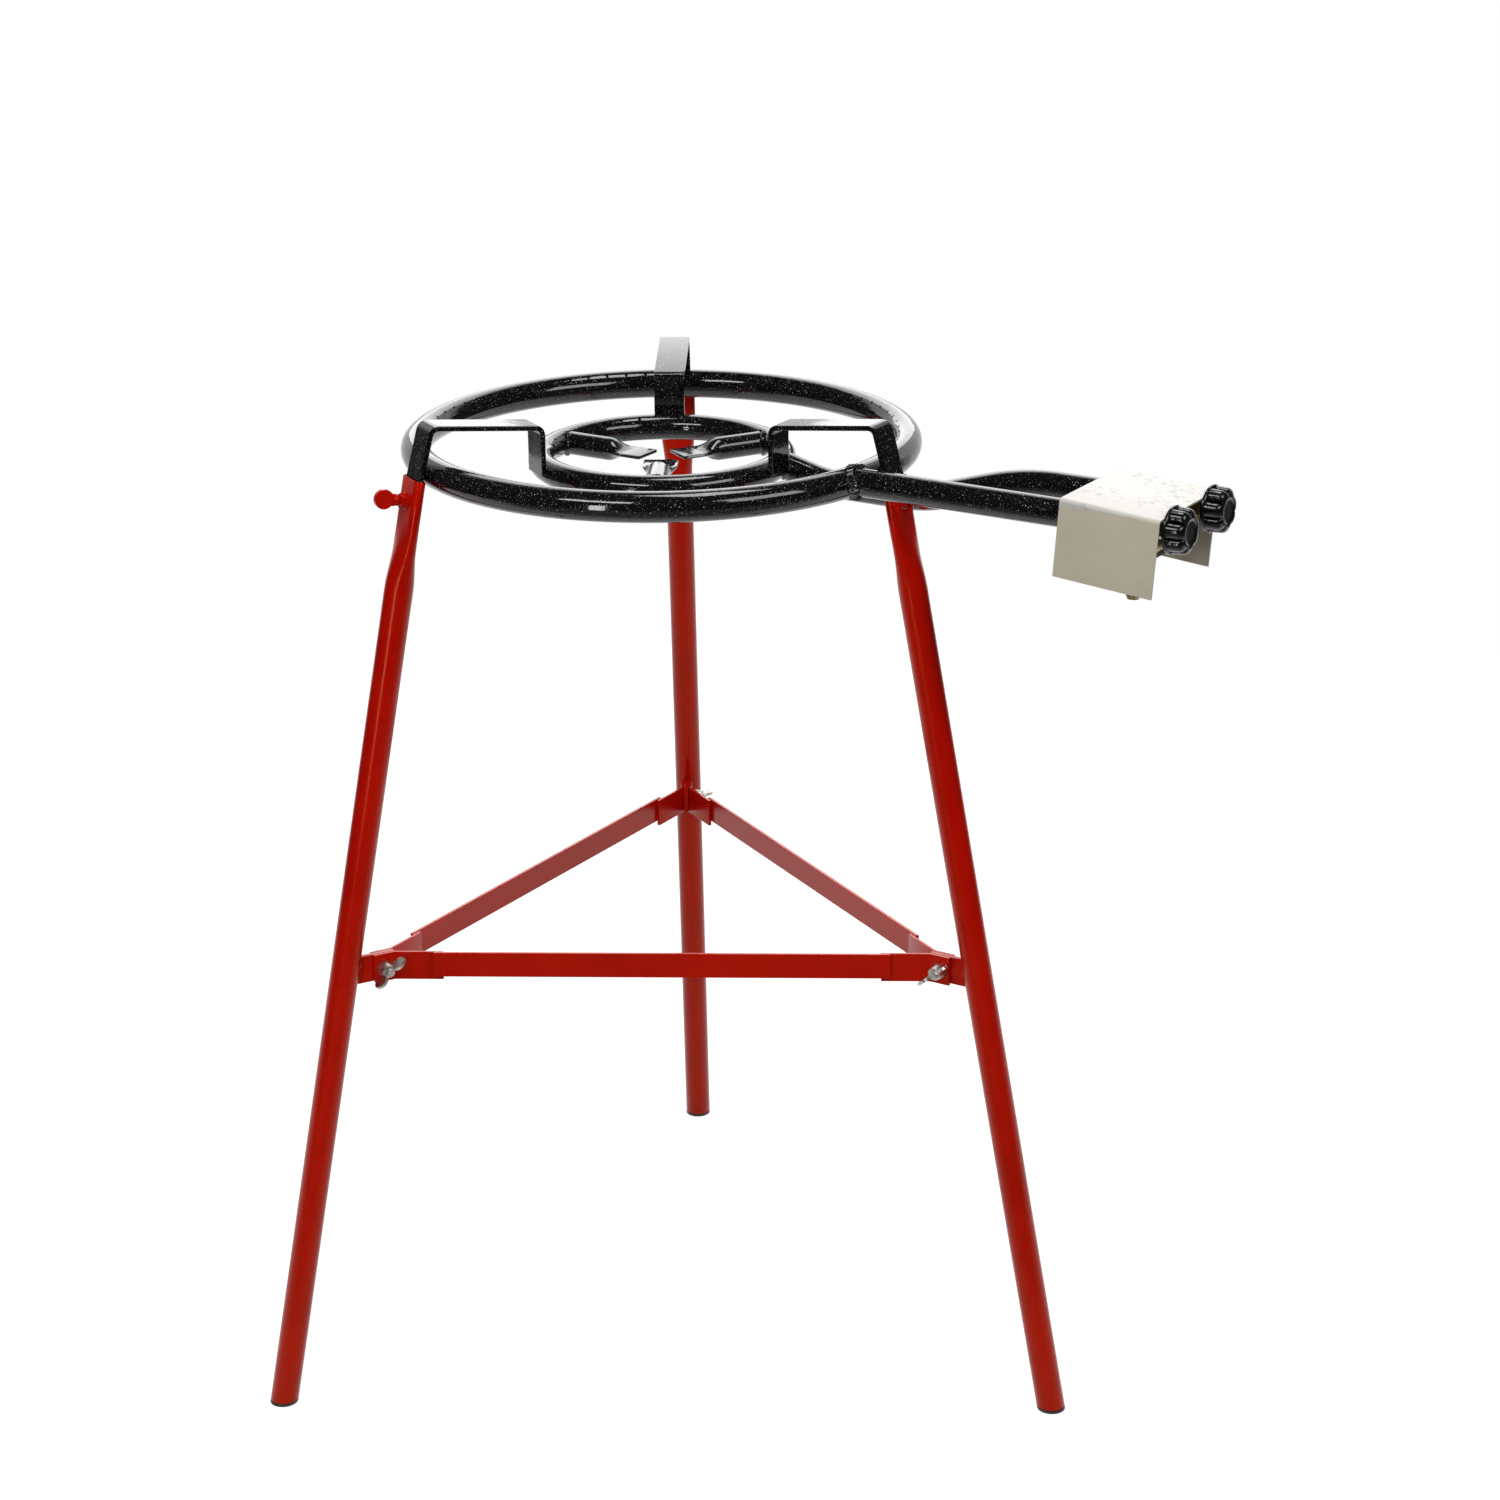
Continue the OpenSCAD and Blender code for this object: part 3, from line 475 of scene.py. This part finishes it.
# %% Loft an outline through stations
def loft(bm, stations, sides, closed=False):
    """Extrudes a ring from station to station, and joins its ends or caps them."""
    number = bm.verts.layers.int.get("number") or bm.verts.layers.int.new("number")
    step = 2 * math.pi / sides
    ring = bmesh.ops.create_circle(bm, segments=sides, radius=1.0)["verts"]
    for vert in ring:
        vert[number] = round(math.atan2(vert.co.y, vert.co.x) / step) % sides
    edges = first = list({edge for vert in ring for edge in vert.link_edges})
    for count, (matrix, outline) in enumerate(stations):
        if count:
            made = bmesh.ops.extrude_edge_only(bm, edges=edges)["geom"]
            ring = {part for part in made if isinstance(part, bmesh.types.BMVert)}
            edges = [p for p in made if isinstance(p, bmesh.types.BMEdge) and ring.issuperset(p.verts)]
        for vert in ring:
            vert.co = matrix @ Vector((*outline(vert[number] * step), 0))
    if closed:
        bmesh.ops.bridge_loops(bm, edges=first + edges)
    else:
        bmesh.ops.edgeloop_fill(bm, edges=first)
        bmesh.ops.edgeloop_fill(bm, edges=edges)


def place(at, along, up):
    """A matrix that carries an outline to a point, facing along, with its x side up."""
    along = along.normalized()
    side = along.cross(up).normalized()
    matrix = Matrix((side.cross(along), side, along)).transposed().to_4x4()
    matrix.translation = at
    return matrix


def circle(radius):
    return lambda angle: (radius * math.cos(angle), radius * math.sin(angle))


def pressed(radius, thickness, share):
    """A round tube's outline, pressed flat by a share. Its length round stays the same."""
    half_flat = math.pi * (2 * radius - thickness) / 4
    end = thickness / 2

    def outline(angle):
        x, y = math.cos(angle), math.sin(angle)
        run = math.atan2(abs(y), abs(x)) * radius
        if run < half_flat:
            flat_x, flat_y = end, run
        else:
            bend = (run - half_flat) / end
            flat_x, flat_y = end * math.cos(bend), half_flat + end * math.sin(bend)
        return (
            radius * x * (1 - share) + math.copysign(flat_x, x) * share,
            radius * y * (1 - share) + math.copysign(flat_y, y) * share,
        )

    return outline


def ease(share):
    """0 to 1 with a soft start and end."""
    share = min(1.0, max(0.0, share))
    return share * share * (3 - 2 * share)


print("Ready to loft")

# %% [markdown]
# ## The legs
# A leg is steel tube whose top end was pressed flat in a die, so that it grips the flat tongue of
# the pan support. The press leaves a long soft shoulder, and its shading is the one thing that
# tells a real leg from a plain rod. The loft runs up the outside, over the rim, and down the
# inside, and a cut parallel to the floor ends it on its plug.

# %% Legs
RING_Z = 741.0
LEG_R = 11.0
LEG_WALL = 1.3
LEG_TOP_R = 205.4
LEG_TOP_Z = RING_Z - 2.0
FOOT_R = 352.0
SOLE = 3.0
SOCKET_DEPTH = 8.6
SOCKET_L = 32.0
SHOULDER_L = 54.0
LEG_LEAN = math.atan2(FOOT_R - LEG_TOP_R, LEG_TOP_Z)


def turn(degrees, axis):
    return Matrix.Rotation(math.radians(degrees), 4, axis)


def shift(x, y, z):
    return Matrix.Translation((x, y, z))


def on_leg(number, drop):
    """The place on a leg's middle line, drop millimetres below its top."""
    tilt = Matrix.Rotation(-LEG_LEAN, 4, "Y")
    return turn((number - 1) * 120, "Z") @ shift(LEG_TOP_R, 0, LEG_TOP_Z) @ tilt @ shift(0, 0, -drop)


def leg_outline(drop, inset):
    share = 1 - ease((drop - SOCKET_L) / SHOULDER_L)
    return pressed(LEG_R - inset, SOCKET_DEPTH - 2 * inset, share)


def make_leg(number):
    bm = bmesh.new()
    shoulder = [SOCKET_L + SHOULDER_L * k / 14 for k in range(15)]
    outside = [LEG_TOP_Z / math.cos(LEG_LEAN) + LEG_R, 300, 150, *reversed(shoulder), 0.4]
    stations = [(on_leg(number, drop), leg_outline(drop, 0)) for drop in outside]
    rim = [leg_outline(0, 0.3), leg_outline(0, LEG_WALL - 0.2)]
    stations += [(on_leg(number, 0), outline) for outline in rim]
    stations += [(on_leg(number, drop), leg_outline(drop, LEG_WALL)) for drop in [0.4, *shoulder, 100]]
    loft(bm, stations, 48)
    everything = [*bm.verts, *bm.edges, *bm.faces]
    cut = bmesh.ops.bisect_plane(
        bm, geom=everything, plane_co=(0, 0, SOLE), plane_no=(0, 0, 1), clear_inner=True
    )
    rim_edges = [part for part in cut["geom_cut"] if isinstance(part, bmesh.types.BMEdge)]
    bmesh.ops.edgeloop_fill(bm, edges=rim_edges)
    return finish_piece(bm, f"pressed_leg_{number}", red, stands_for=(f"leg_{number}",))


for number in (1, 2, 3):
    leg = make_leg(number)
    print(leg.name, len(leg.data.polygons), "faces")

# %% [markdown]
# ## The fingers inside the small ring
# Three short tubes carry gas towards the middle. Each is closed by pressing its end flat, which
# spreads it into a beak wider than the tube. It is the leg's outline again, pressed harder.

# %% Fingers
INNER_RING_Z = RING_Z - 12.5
INNER_RING_R = 93.0
INNER_RING_TUBE = 10.0
FINGER_R = 9.0
BEAK_T = 2.8
TIP_R = 13.0
BEAK_END = 29.0
THROAT_END = 49.0


def make_finger(number):
    bm = bmesh.new()
    heading = turn(120 * number - 60, "Z") @ Vector((1, 0, 0))
    up = Vector((0, 0, 1))
    centre = Vector((0, 0, INNER_RING_Z))

    def station(reach, share, radius=FINGER_R, thickness=BEAK_T):
        return place(centre + heading * reach, -heading, up), pressed(radius, thickness, share)

    throat = [THROAT_END - (THROAT_END - BEAK_END) * k / 16 for k in range(17)]
    stations = [station(INNER_RING_R - 6, 0)]
    stations += [station(reach, ease((THROAT_END - reach) / (THROAT_END - BEAK_END))) for reach in throat]
    stations += [station(TIP_R + 0.8, 1), station(TIP_R + 0.2, 1, 8.7, 2.4), station(TIP_R, 1, 8.3, 1.4)]
    loft(bm, stations, 48)
    return finish_piece(
        bm, f"crimped_finger_{number}", enamel, stands_for=(f"burner_finger_{number}",)
    )


for number in (1, 2, 3):
    finger = make_finger(number)
    print(finger.name, len(finger.data.polygons), "faces")

# %% [markdown]
# ## The bent feed tube
# The tube to the small ring dips under the large ring, and a tube bender gives it smooth arcs. The
# solid has those arcs in short straight lengths, so a fine skin with closely spaced rings goes
# over the bent stretch and meets the straight pipe at both ends.

# %% Bent stretch of the inner feed tube
FEED_Z = RING_Z + 1.5
FEED_R = 10.5
INNER_FEED_Y = 29.5
OUTER_FEED_Y = -33.5
RING_R = 188.5
RING_TUBE = 11.5
DIP = 23.0
FALL = math.radians(14)
RISE = math.radians(16.5)
DIP_BEND = 120.0
LEVEL_BEND = 200.0
MOUTH_X = 400.0
SKIN = 0.03


def bend_places(corners, radii, steps):
    """Places along a line of straights and arcs in the XZ plane, from its first bend to its last."""
    places = []
    for before, corner, after, radius in zip(corners, corners[1:], corners[2:], radii):
        a, b = (corner - before).normalized(), (after - corner).normalized()
        swing = math.atan2(a.x * b.y - a.y * b.x, a.dot(b))
        start = corner - a * radius * math.tan(abs(swing) / 2)
        centre = start + Vector((-a.y, a.x)) * math.copysign(radius, swing)
        for k in range(steps + 1):
            part = Matrix.Rotation(swing * k / steps, 2)
            at, along = centre + part @ (start - centre), part @ a
            places.append((Vector((at.x, INNER_FEED_Y, at.y)), Vector((along.x, 0, along.y))))
    return places


start_x = math.sqrt(INNER_RING_R**2 - INNER_FEED_Y**2)
ring_x = math.sqrt(RING_R**2 - INNER_FEED_Y**2)
low_z = RING_Z - DIP
low_x = start_x + (INNER_RING_Z - low_z) / math.tan(FALL)
rise_x = ring_x + RING_TUBE + DIP_BEND * math.tan(RISE / 2)
level_x = rise_x + (FEED_Z - low_z) / math.tan(RISE)
corners = [
    Vector((start_x, INNER_RING_Z)), Vector((low_x, low_z)), Vector((rise_x, low_z)),
    Vector((level_x, FEED_Z)), Vector((MOUTH_X, FEED_Z)),
]
bends = bend_places(corners, (DIP_BEND, DIP_BEND, LEVEL_BEND), 16)
for end, sign in ((0, -1), (-1, 1)):
    at, along = bends[end]
    bends.insert(0 if end == 0 else len(bends), (at + along * sign * 1.5, along))
bm = bmesh.new()
sideways = Vector((0, 1, 0))
skin = [(place(at, along, sideways), circle(FEED_R + SKIN)) for at, along in bends]
lining = [(place(at, along, sideways), circle(FEED_R - SKIN)) for at, along in reversed(bends)]
loft(bm, skin + lining, 64, closed=True)
bent_skin = finish_piece(bm, "feed_tube_bends", enamel)
print(bent_skin.name, len(bends), "rings of 64")

# %% [markdown]
# ## Weld beads
# The burner and the stand are welded by hand before they are coated, and every joint shows it: a
# raised rope of metal with a ripple for each dab of the rod. A bead is lofted along the line where
# two parts meet. For a tube against a ring, that line is found by walking out along the tube until
# the ring's surface is crossed, once for each direction round the tube.


# %% Weld beads
RIPPLE = 2.1
OUTER_FEED_BEAD = 3.9
INNER_FEED_BEAD = 2.2
FINGER_BEAD = 1.7
# Where each support crosses a ring: distance out, height, half length and half width of its bead.
SUPPORT_BEADS = (
    (RING_R + 12.9, RING_Z + 6.2, 11.0, 2.7),
    (INNER_RING_R + 9.2, INNER_RING_Z + 5.6, 10.5, 1.7),
)


def add_bead(bm, points, ups, size, closed=False):
    """Lofts a rippled rope of the given half width along points."""
    count = len(points)
    run = 0.0
    stations = []
    for k, (point, up) in enumerate(zip(points, ups)):
        after = points[(k + 1) % count] if closed or k + 1 < count else point
        before = points[k - 1] if closed or k else point
        run += (point - before).length
        lumps = noise.noise(point * 0.22) * 0.6 + 0.1 * math.cos(2 * math.pi * run / RIPPLE)
        taper = 1.0 if closed else math.sqrt(max(0.06, 1 - abs(2 * k / (count - 1) - 1) ** 6))
        stations.append((place(point, after - before, up), circle(size * (1 + lumps) * taper)))
    loft(bm, stations, 10, closed)


def seam(origin, along, radius, distance, count):
    """Where a tube of that radius leaves a body whose signed distance is known, all the way round."""
    side = along.orthogonal().normalized()
    other = along.cross(side)
    points, ups = [], []
    for k in range(count):
        angle = 2 * math.pi * k / count
        spoke = side * math.cos(angle) + other * math.sin(angle)
        near, far = 0.0, 60.0
        for _ in range(24):
            middle = (near + far) / 2
            if distance(origin + spoke * radius + along * middle) < 0:
                near = middle
            else:
                far = middle
        points.append(origin + spoke * radius + along * near)
        ups.append(spoke)
    return points, ups


def ring_distance(radius, tube, height):
    def distance(point):
        return math.hypot(math.hypot(point.x, point.y) - radius, point.z - height) - tube

    return distance


def line(start, end, spacing=0.5):
    """Evenly spaced points from start to end."""
    count = max(8, round((end - start).length / spacing))
    return [start.lerp(end, k / count) for k in range(count + 1)]


bm = bmesh.new()
large_ring = ring_distance(RING_R, RING_TUBE, RING_Z)
small_ring = ring_distance(INNER_RING_R, INNER_RING_TUBE, INNER_RING_Z)
outer_start = Vector((math.sqrt(RING_R**2 - OUTER_FEED_Y**2), OUTER_FEED_Y, FEED_Z))
outer_seam = seam(outer_start, Vector((1, 0, 0)), FEED_R - 0.9, large_ring, 150)
add_bead(bm, *outer_seam, OUTER_FEED_BEAD, closed=True)
inner_start = Vector((start_x, INNER_FEED_Y, INNER_RING_Z))
fall = Vector((math.cos(FALL), 0, -math.sin(FALL)))
add_bead(bm, *seam(inner_start, fall, FEED_R - 1.3, small_ring, 150), INNER_FEED_BEAD, closed=True)
up = Vector((0, 0, 1))
for number in (1, 2, 3):
    heading = turn(120 * number - 60, "Z") @ Vector((1, 0, 0))
    root = heading * INNER_RING_R + up * INNER_RING_Z
    add_bead(bm, *seam(root, -heading, FINGER_R - 0.3, small_ring, 120), FINGER_BEAD, closed=True)
    about = turn(120 * (number - 1), "Z")
    for reach, height, half, size in SUPPORT_BEADS:
        ends = [about @ Vector((reach, side * half, height)) for side in (-1, 1)]
        points = line(*ends)
        add_bead(bm, points, [up] * len(points), size)
burner_welds = finish_piece(bm, "burner_weld_beads", enamel)
print(burner_welds.name, len(burner_welds.data.polygons), "faces")

# %% [markdown]
# The stand's own welds are smaller. Two upright beads hold each lug to its leg, one closes each
# bar's end on its cheek plate, and a ring of weld holds the nut that the thumb screw runs in.

# %% Welds of the stand
BOLT_Z = 355.5
BOLT_GAP = 31.0
BRACE_Z = BOLT_Z + 1.0
LUG_H = 23.0
LUG_T = 4.0
CHEEK_T = 2.5
BAR_H = 20.0
GAP = 0.2
SCREW_DROP = 17.0
LUG_BEAD = 1.6
SMALL_BEAD = 1.1
NUT_R = 5.6

leg_r_at_bolt = LEG_TOP_R + (LEG_TOP_Z - BOLT_Z) * math.tan(LEG_LEAN)
bolt_r = leg_r_at_bolt - BOLT_GAP
cheek_y = LUG_T / 2 + GAP + CHEEK_T / 2
bend_x = bolt_r - 9
cheek_line = bend_x / 2 + cheek_y * math.sqrt(0.75)
cheek_reach = bend_x * math.sqrt(0.75) - cheek_y / 2 - 38
bar_half = cheek_reach + 7

bm = bmesh.new()
for number in (1, 2, 3):
    about = turn(120 * (number - 1), "Z")
    for side in (-1, 1):
        ends = []
        for z in (BRACE_Z - LUG_H / 2 + 0.5, BRACE_Z + LUG_H / 2 - 1.5):
            x = LEG_TOP_R + (LEG_TOP_Z - z) * math.tan(LEG_LEAN) - LEG_R / math.cos(LEG_LEAN)
            ends.append(about @ Vector((x, side * (LUG_T / 2 + 0.3), z)))
        points = line(*ends)
        add_bead(bm, points, [about @ Vector((0, side, 0))] * len(points), LUG_BEAD)
    facing_bar = turn(120 * number - 60, "Z")
    for side in (-1, 1):
        x = cheek_line + CHEEK_T / 2 + 0.3
        low = BRACE_Z - BAR_H / 2 + 1
        ends = [facing_bar @ Vector((x, side * (bar_half + 0.2), z)) for z in (low + 1, low + BAR_H - 1)]
        points = line(*ends)
        add_bead(bm, points, [facing_bar @ Vector((1, 0, 0))] * len(points), SMALL_BEAD)
    nut = on_leg(number, SCREW_DROP) @ shift(SOCKET_DEPTH / 2 + 0.2, 0, 0)
    circle_points, spokes = [], []
    for k in range(72):
        spoke = Vector((0, math.cos(k * math.pi / 36), math.sin(k * math.pi / 36)))
        circle_points.append(nut @ (spoke * NUT_R))
        spokes.append(nut.to_3x3() @ spoke)
    add_bead(bm, circle_points, spokes, SMALL_BEAD, closed=True)
stand_welds = finish_piece(bm, "stand_weld_beads", red)
print(stand_welds.name, len(stand_welds.data.polygons), "faces")

# %% [markdown]
# ## Knobs
# The knobs are moulded with deep finger grips and a round skirt. Each is a loft along its
# spindle. Between the skirt and the face, the outline is a ring of seven half-round lobes, and
# the face draws them in to a dished centre.

# %% Knobs
KNOB_X = 445.8
KNOB_LOBES = 7
# Distance along the knob, radius, and how deep the grips are as a share of the radius.
KNOB_STEPS = [
    (0.0, 16.6, 0), (0.0, 17.0, 0), (0.5, 17.5, 0), (2.0, 17.5, 0), (2.5, 17.0, 0), (2.6, 16.9, 0.2),
    (3.4, 16.9, 0.34), (7.0, 16.8, 0.35), (11.0, 16.5, 0.34), (12.6, 15.9, 0.33), (13.8, 14.8, 0.3),
    (14.6, 13.2, 0.25), (14.95, 11.6, 0.16), (15.0, 10.2, 0.08), (14.8, 9.2, 0), (14.3, 8.6, 0),
    (14.2, 7.5, 0), (14.3, 3.0, 0),
]


def lobed(radius, depth):
    def outline(angle):
        along = angle * KNOB_LOBES / (2 * math.pi) % 1 * 2 - 1
        bulge = max(0.0, 1 - along * along) ** 0.5
        reach = radius * (1 - depth * (1 - bulge))
        return reach * math.cos(angle), reach * math.sin(angle)

    return outline


for which, feed_y in (("outer", OUTER_FEED_Y), ("inner", INNER_FEED_Y)):
    bm = bmesh.new()
    forward = Vector((1, 0, 0))
    stations = [
        (place(Vector((KNOB_X + x, feed_y, FEED_Z)), forward, up), lobed(radius, depth))
        for x, radius, depth in KNOB_STEPS
    ]
    loft(bm, stations, KNOB_LOBES * 18)
    knob = finish_piece(
        bm, f"{which}_grip_knob", black_plastic, f"{which}_knob", (f"{which}_knob",)
    )
    print(knob.name, len(knob.data.polygons), "faces")


# %% [markdown]
# ## Camera
# The view looks down a little at the stand, from the right of its front leg, through a long lens
# that keeps the legs' lean true.

# %% Camera
CAMERA_AT = Vector((1.38991, -2.09026, 1.38919))
CAMERA_AZIMUTH = 32.13
CAMERA_PITCH = 19.76
CAMERA_ROLL = -0.59
LENS_MM = 80.56

camera = bpy.data.objects.new("camera", bpy.data.cameras.new("camera"))
bpy.context.scene.collection.objects.link(camera)
camera.data.sensor_width = 36.0
camera.data.lens = LENS_MM
aim = turn(CAMERA_AZIMUTH, "Z") @ turn(90 - CAMERA_PITCH, "X") @ turn(CAMERA_ROLL, "Z")
camera.matrix_world = Matrix.Translation(CAMERA_AT) @ aim
bpy.context.scene.camera = camera
print("Camera", tuple(round(v, 3) for v in CAMERA_AT))

# %% [markdown]
# ## Light and floor
# Gloss paint and enamel are mostly a picture of the room, so the room is planned before the
# lamps. Behind the stand is a white wall, and beside and in front of it the room is nearly
# dark, so the faces turned to the camera keep deep colours. A dot product with the direction
# away from the camera tells the world where the wall is. The wall's soft light grows with
# height. The camera sees plain white all round. A reflection shows that white on the wall and on
# the floor from just in front of the stand backwards, and a grey floor nearer the camera.

# %% The room and the floor
ROOM_LIGHT = 0.05
WALL_FOOT_LIGHT = 0.6
WALL_LIGHT = 2.4
FLOOR_GREY = 0.3
FLOOR_RADIUS = 2.0
FLOOR_LIFT = 0.9
# How far away from the camera a direction points where the wall begins, and where it is full.
WALL_EDGE = (0.56, 0.8)
WALL_RISE = (0.02, 0.24)
# Metres away from the camera, from the stand's middle, over which the floor turns white.
WHITE_FLOOR = (-0.7, -0.2)


def blend(tree, operation, first, second):
    """One Math node on two numbers."""
    made = tree.nodes.new("ShaderNodeMath")
    made.operation = operation
    tree.links.new(first, made.inputs[0])
    tree.links.new(second, made.inputs[1])
    return made.outputs[0]


def ray(tree, kind):
    """A number that is 1 for rays of this kind and 0 for the others."""
    return tree.nodes.new("ShaderNodeLightPath").outputs[f"Is {kind} Ray"]


def seen_white(tree, backdrop):
    """1 for what the camera sees straight, and in a reflection as far as the backdrop reaches."""
    mirrored = blend(tree, "MAXIMUM", ray(tree, "Glossy"), ray(tree, "Transmission"))
    return blend(tree, "MAXIMUM", ray(tree, "Camera"), blend(tree, "MULTIPLY", mirrored, backdrop))


def remap(tree, value, low, high, bottom, top):
    """Eases a value from one range to another."""
    ramp = tree.nodes.new("ShaderNodeMapRange")
    ramp.interpolation_type = "SMOOTHSTEP"
    tree.links.new(value, ramp.inputs["Value"])
    for key, number in (("From Min", low), ("From Max", high), ("To Min", bottom), ("To Max", top)):
        socket = ramp.inputs[key]
        if isinstance(number, float):
            socket.default_value = number
        else:
            tree.links.new(number, socket)
    return ramp.outputs["Result"]


def along_view(tree, vector):
    """How far a place or a direction lies away from the camera, level with the floor."""
    away = tree.nodes.new("ShaderNodeVectorMath")
    away.operation = "DOT_PRODUCT"
    tree.links.new(vector, away.inputs[0])
    away.inputs[1].default_value = turn(CAMERA_AZIMUTH, "Z") @ Vector((0, 1, 0))
    return away.outputs["Value"]


def white_world():
    world = bpy.data.worlds.new("studio")
    world.use_nodes = True
    tree = world.node_tree
    light = tree.nodes["Background"]
    light.inputs["Color"].default_value = (1, 1, 1, 1)
    direction = tree.nodes.new("ShaderNodeTexCoord").outputs["Generated"]
    away = along_view(tree, direction)
    height = tree.nodes.new("ShaderNodeSeparateXYZ")
    tree.links.new(direction, height.inputs[0])
    wall = remap(tree, height.outputs["Z"], *WALL_RISE, WALL_FOOT_LIGHT, WALL_LIGHT)
    strength = remap(tree, away, *WALL_EDGE, ROOM_LIGHT, wall)
    tree.links.new(strength, light.inputs["Strength"])
    white = tree.nodes.new("ShaderNodeBackground")
    white.inputs["Color"].default_value = (1, 1, 1, 1)
    choice = tree.nodes.new("ShaderNodeMixShader")
    backdrop = remap(tree, away, *WALL_EDGE, 0.0, 1.0)
    tree.links.new(seen_white(tree, backdrop), choice.inputs[0])
    tree.links.new(light.outputs[0], choice.inputs[1])
    tree.links.new(white.outputs[0], choice.inputs[2])
    tree.links.new(choice.outputs[0], tree.nodes["World Output"].inputs["Surface"])
    bpy.context.scene.world = world


def floor_material():
    material = bpy.data.materials.new("pale_floor")
    material.use_nodes = True
    tree = material.node_tree
    shader = tree.nodes["Principled BSDF"]
    shader.inputs["Base Color"].default_value = (FLOOR_GREY, FLOOR_GREY, FLOOR_GREY, 1)
    shader.inputs["Roughness"].default_value = 1.0
    shader.inputs["Specular IOR Level"].default_value = 0.0
    shader.inputs["Emission Color"].default_value = (1, 1, 1, 1)
    lift = tree.nodes.new("ShaderNodeMath")
    lift.operation = "MULTIPLY"
    lift.inputs[1].default_value = FLOOR_LIFT
    depth = along_view(tree, tree.nodes.new("ShaderNodeTexCoord").outputs["Object"])
    backdrop = remap(tree, depth, *WHITE_FLOOR, 0.0, 1.0)
    tree.links.new(seen_white(tree, backdrop), lift.inputs[0])
    tree.links.new(lift.outputs[0], shader.inputs["Emission Strength"])
    return material


def add_floor():
    mesh = bpy.data.meshes.new("floor")
    bm = bmesh.new()
    bmesh.ops.create_circle(bm, cap_ends=True, segments=96, radius=FLOOR_RADIUS)
    bm.to_mesh(mesh)
    bm.free()
    floor = bpy.data.objects.new("floor", mesh)
    bpy.context.scene.collection.objects.link(floor)
    floor.location.z = min(0.0, cad_low.z) - 0.2 * MM
    mesh.materials.append(floor_material())
    floor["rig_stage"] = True


white_world()
add_floor()
print("Room ready")

# %% [markdown]
# ## Lamps
# A broad soft box on the right lays a wide grey glare on round black tube. A second one on the
# left lights the cover, a third above whitens the tops, and a large one behind is what level
# tops mirror. The narrow upright strip is there for one thing only: the thin bright line that
# runs down a painted leg. Places are given as the camera sees them: to its right, away from
# it, and up from the floor.


# %% Lamps
def soft_box(name, right, away, height, size, watts):
    light = bpy.data.lights.new(name, "AREA")
    light.shape = "RECTANGLE"
    light.size, light.size_y = size
    light.energy = watts
    lamp = bpy.data.objects.new(name, light)
    bpy.context.scene.collection.objects.link(lamp)
    lamp.location = turn(CAMERA_AZIMUTH, "Z") @ Vector((right, away, height))
    target = Vector((0, 0, 0.7))
    lamp.rotation_euler = (target - lamp.location).to_track_quat("-Z", "Y").to_euler()


soft_box("right_box", 1.49, -1.34, 2.04, (1.4, 0.8), 22)
soft_box("left_box", -0.9, -1.5, 2.3, (1.1, 0.4), 18)
soft_box("top_box", 0.3, 0.3, 2.9, (0.8, 0.8), 18)
soft_box("back_box", 0.0, 3.4, 2.3, (2.6, 2.4), 43)
soft_box("strip", -0.94, -1.98, 0.8, (0.2, 1.0), 9)
bpy.context.scene.view_settings.view_transform = "Standard"
print("Lamps ready")

# %% [markdown]
# ## Measure and finish
# The dressed model's box is measured again, as the solid one's was at the start.

# %% Finish
low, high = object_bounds()
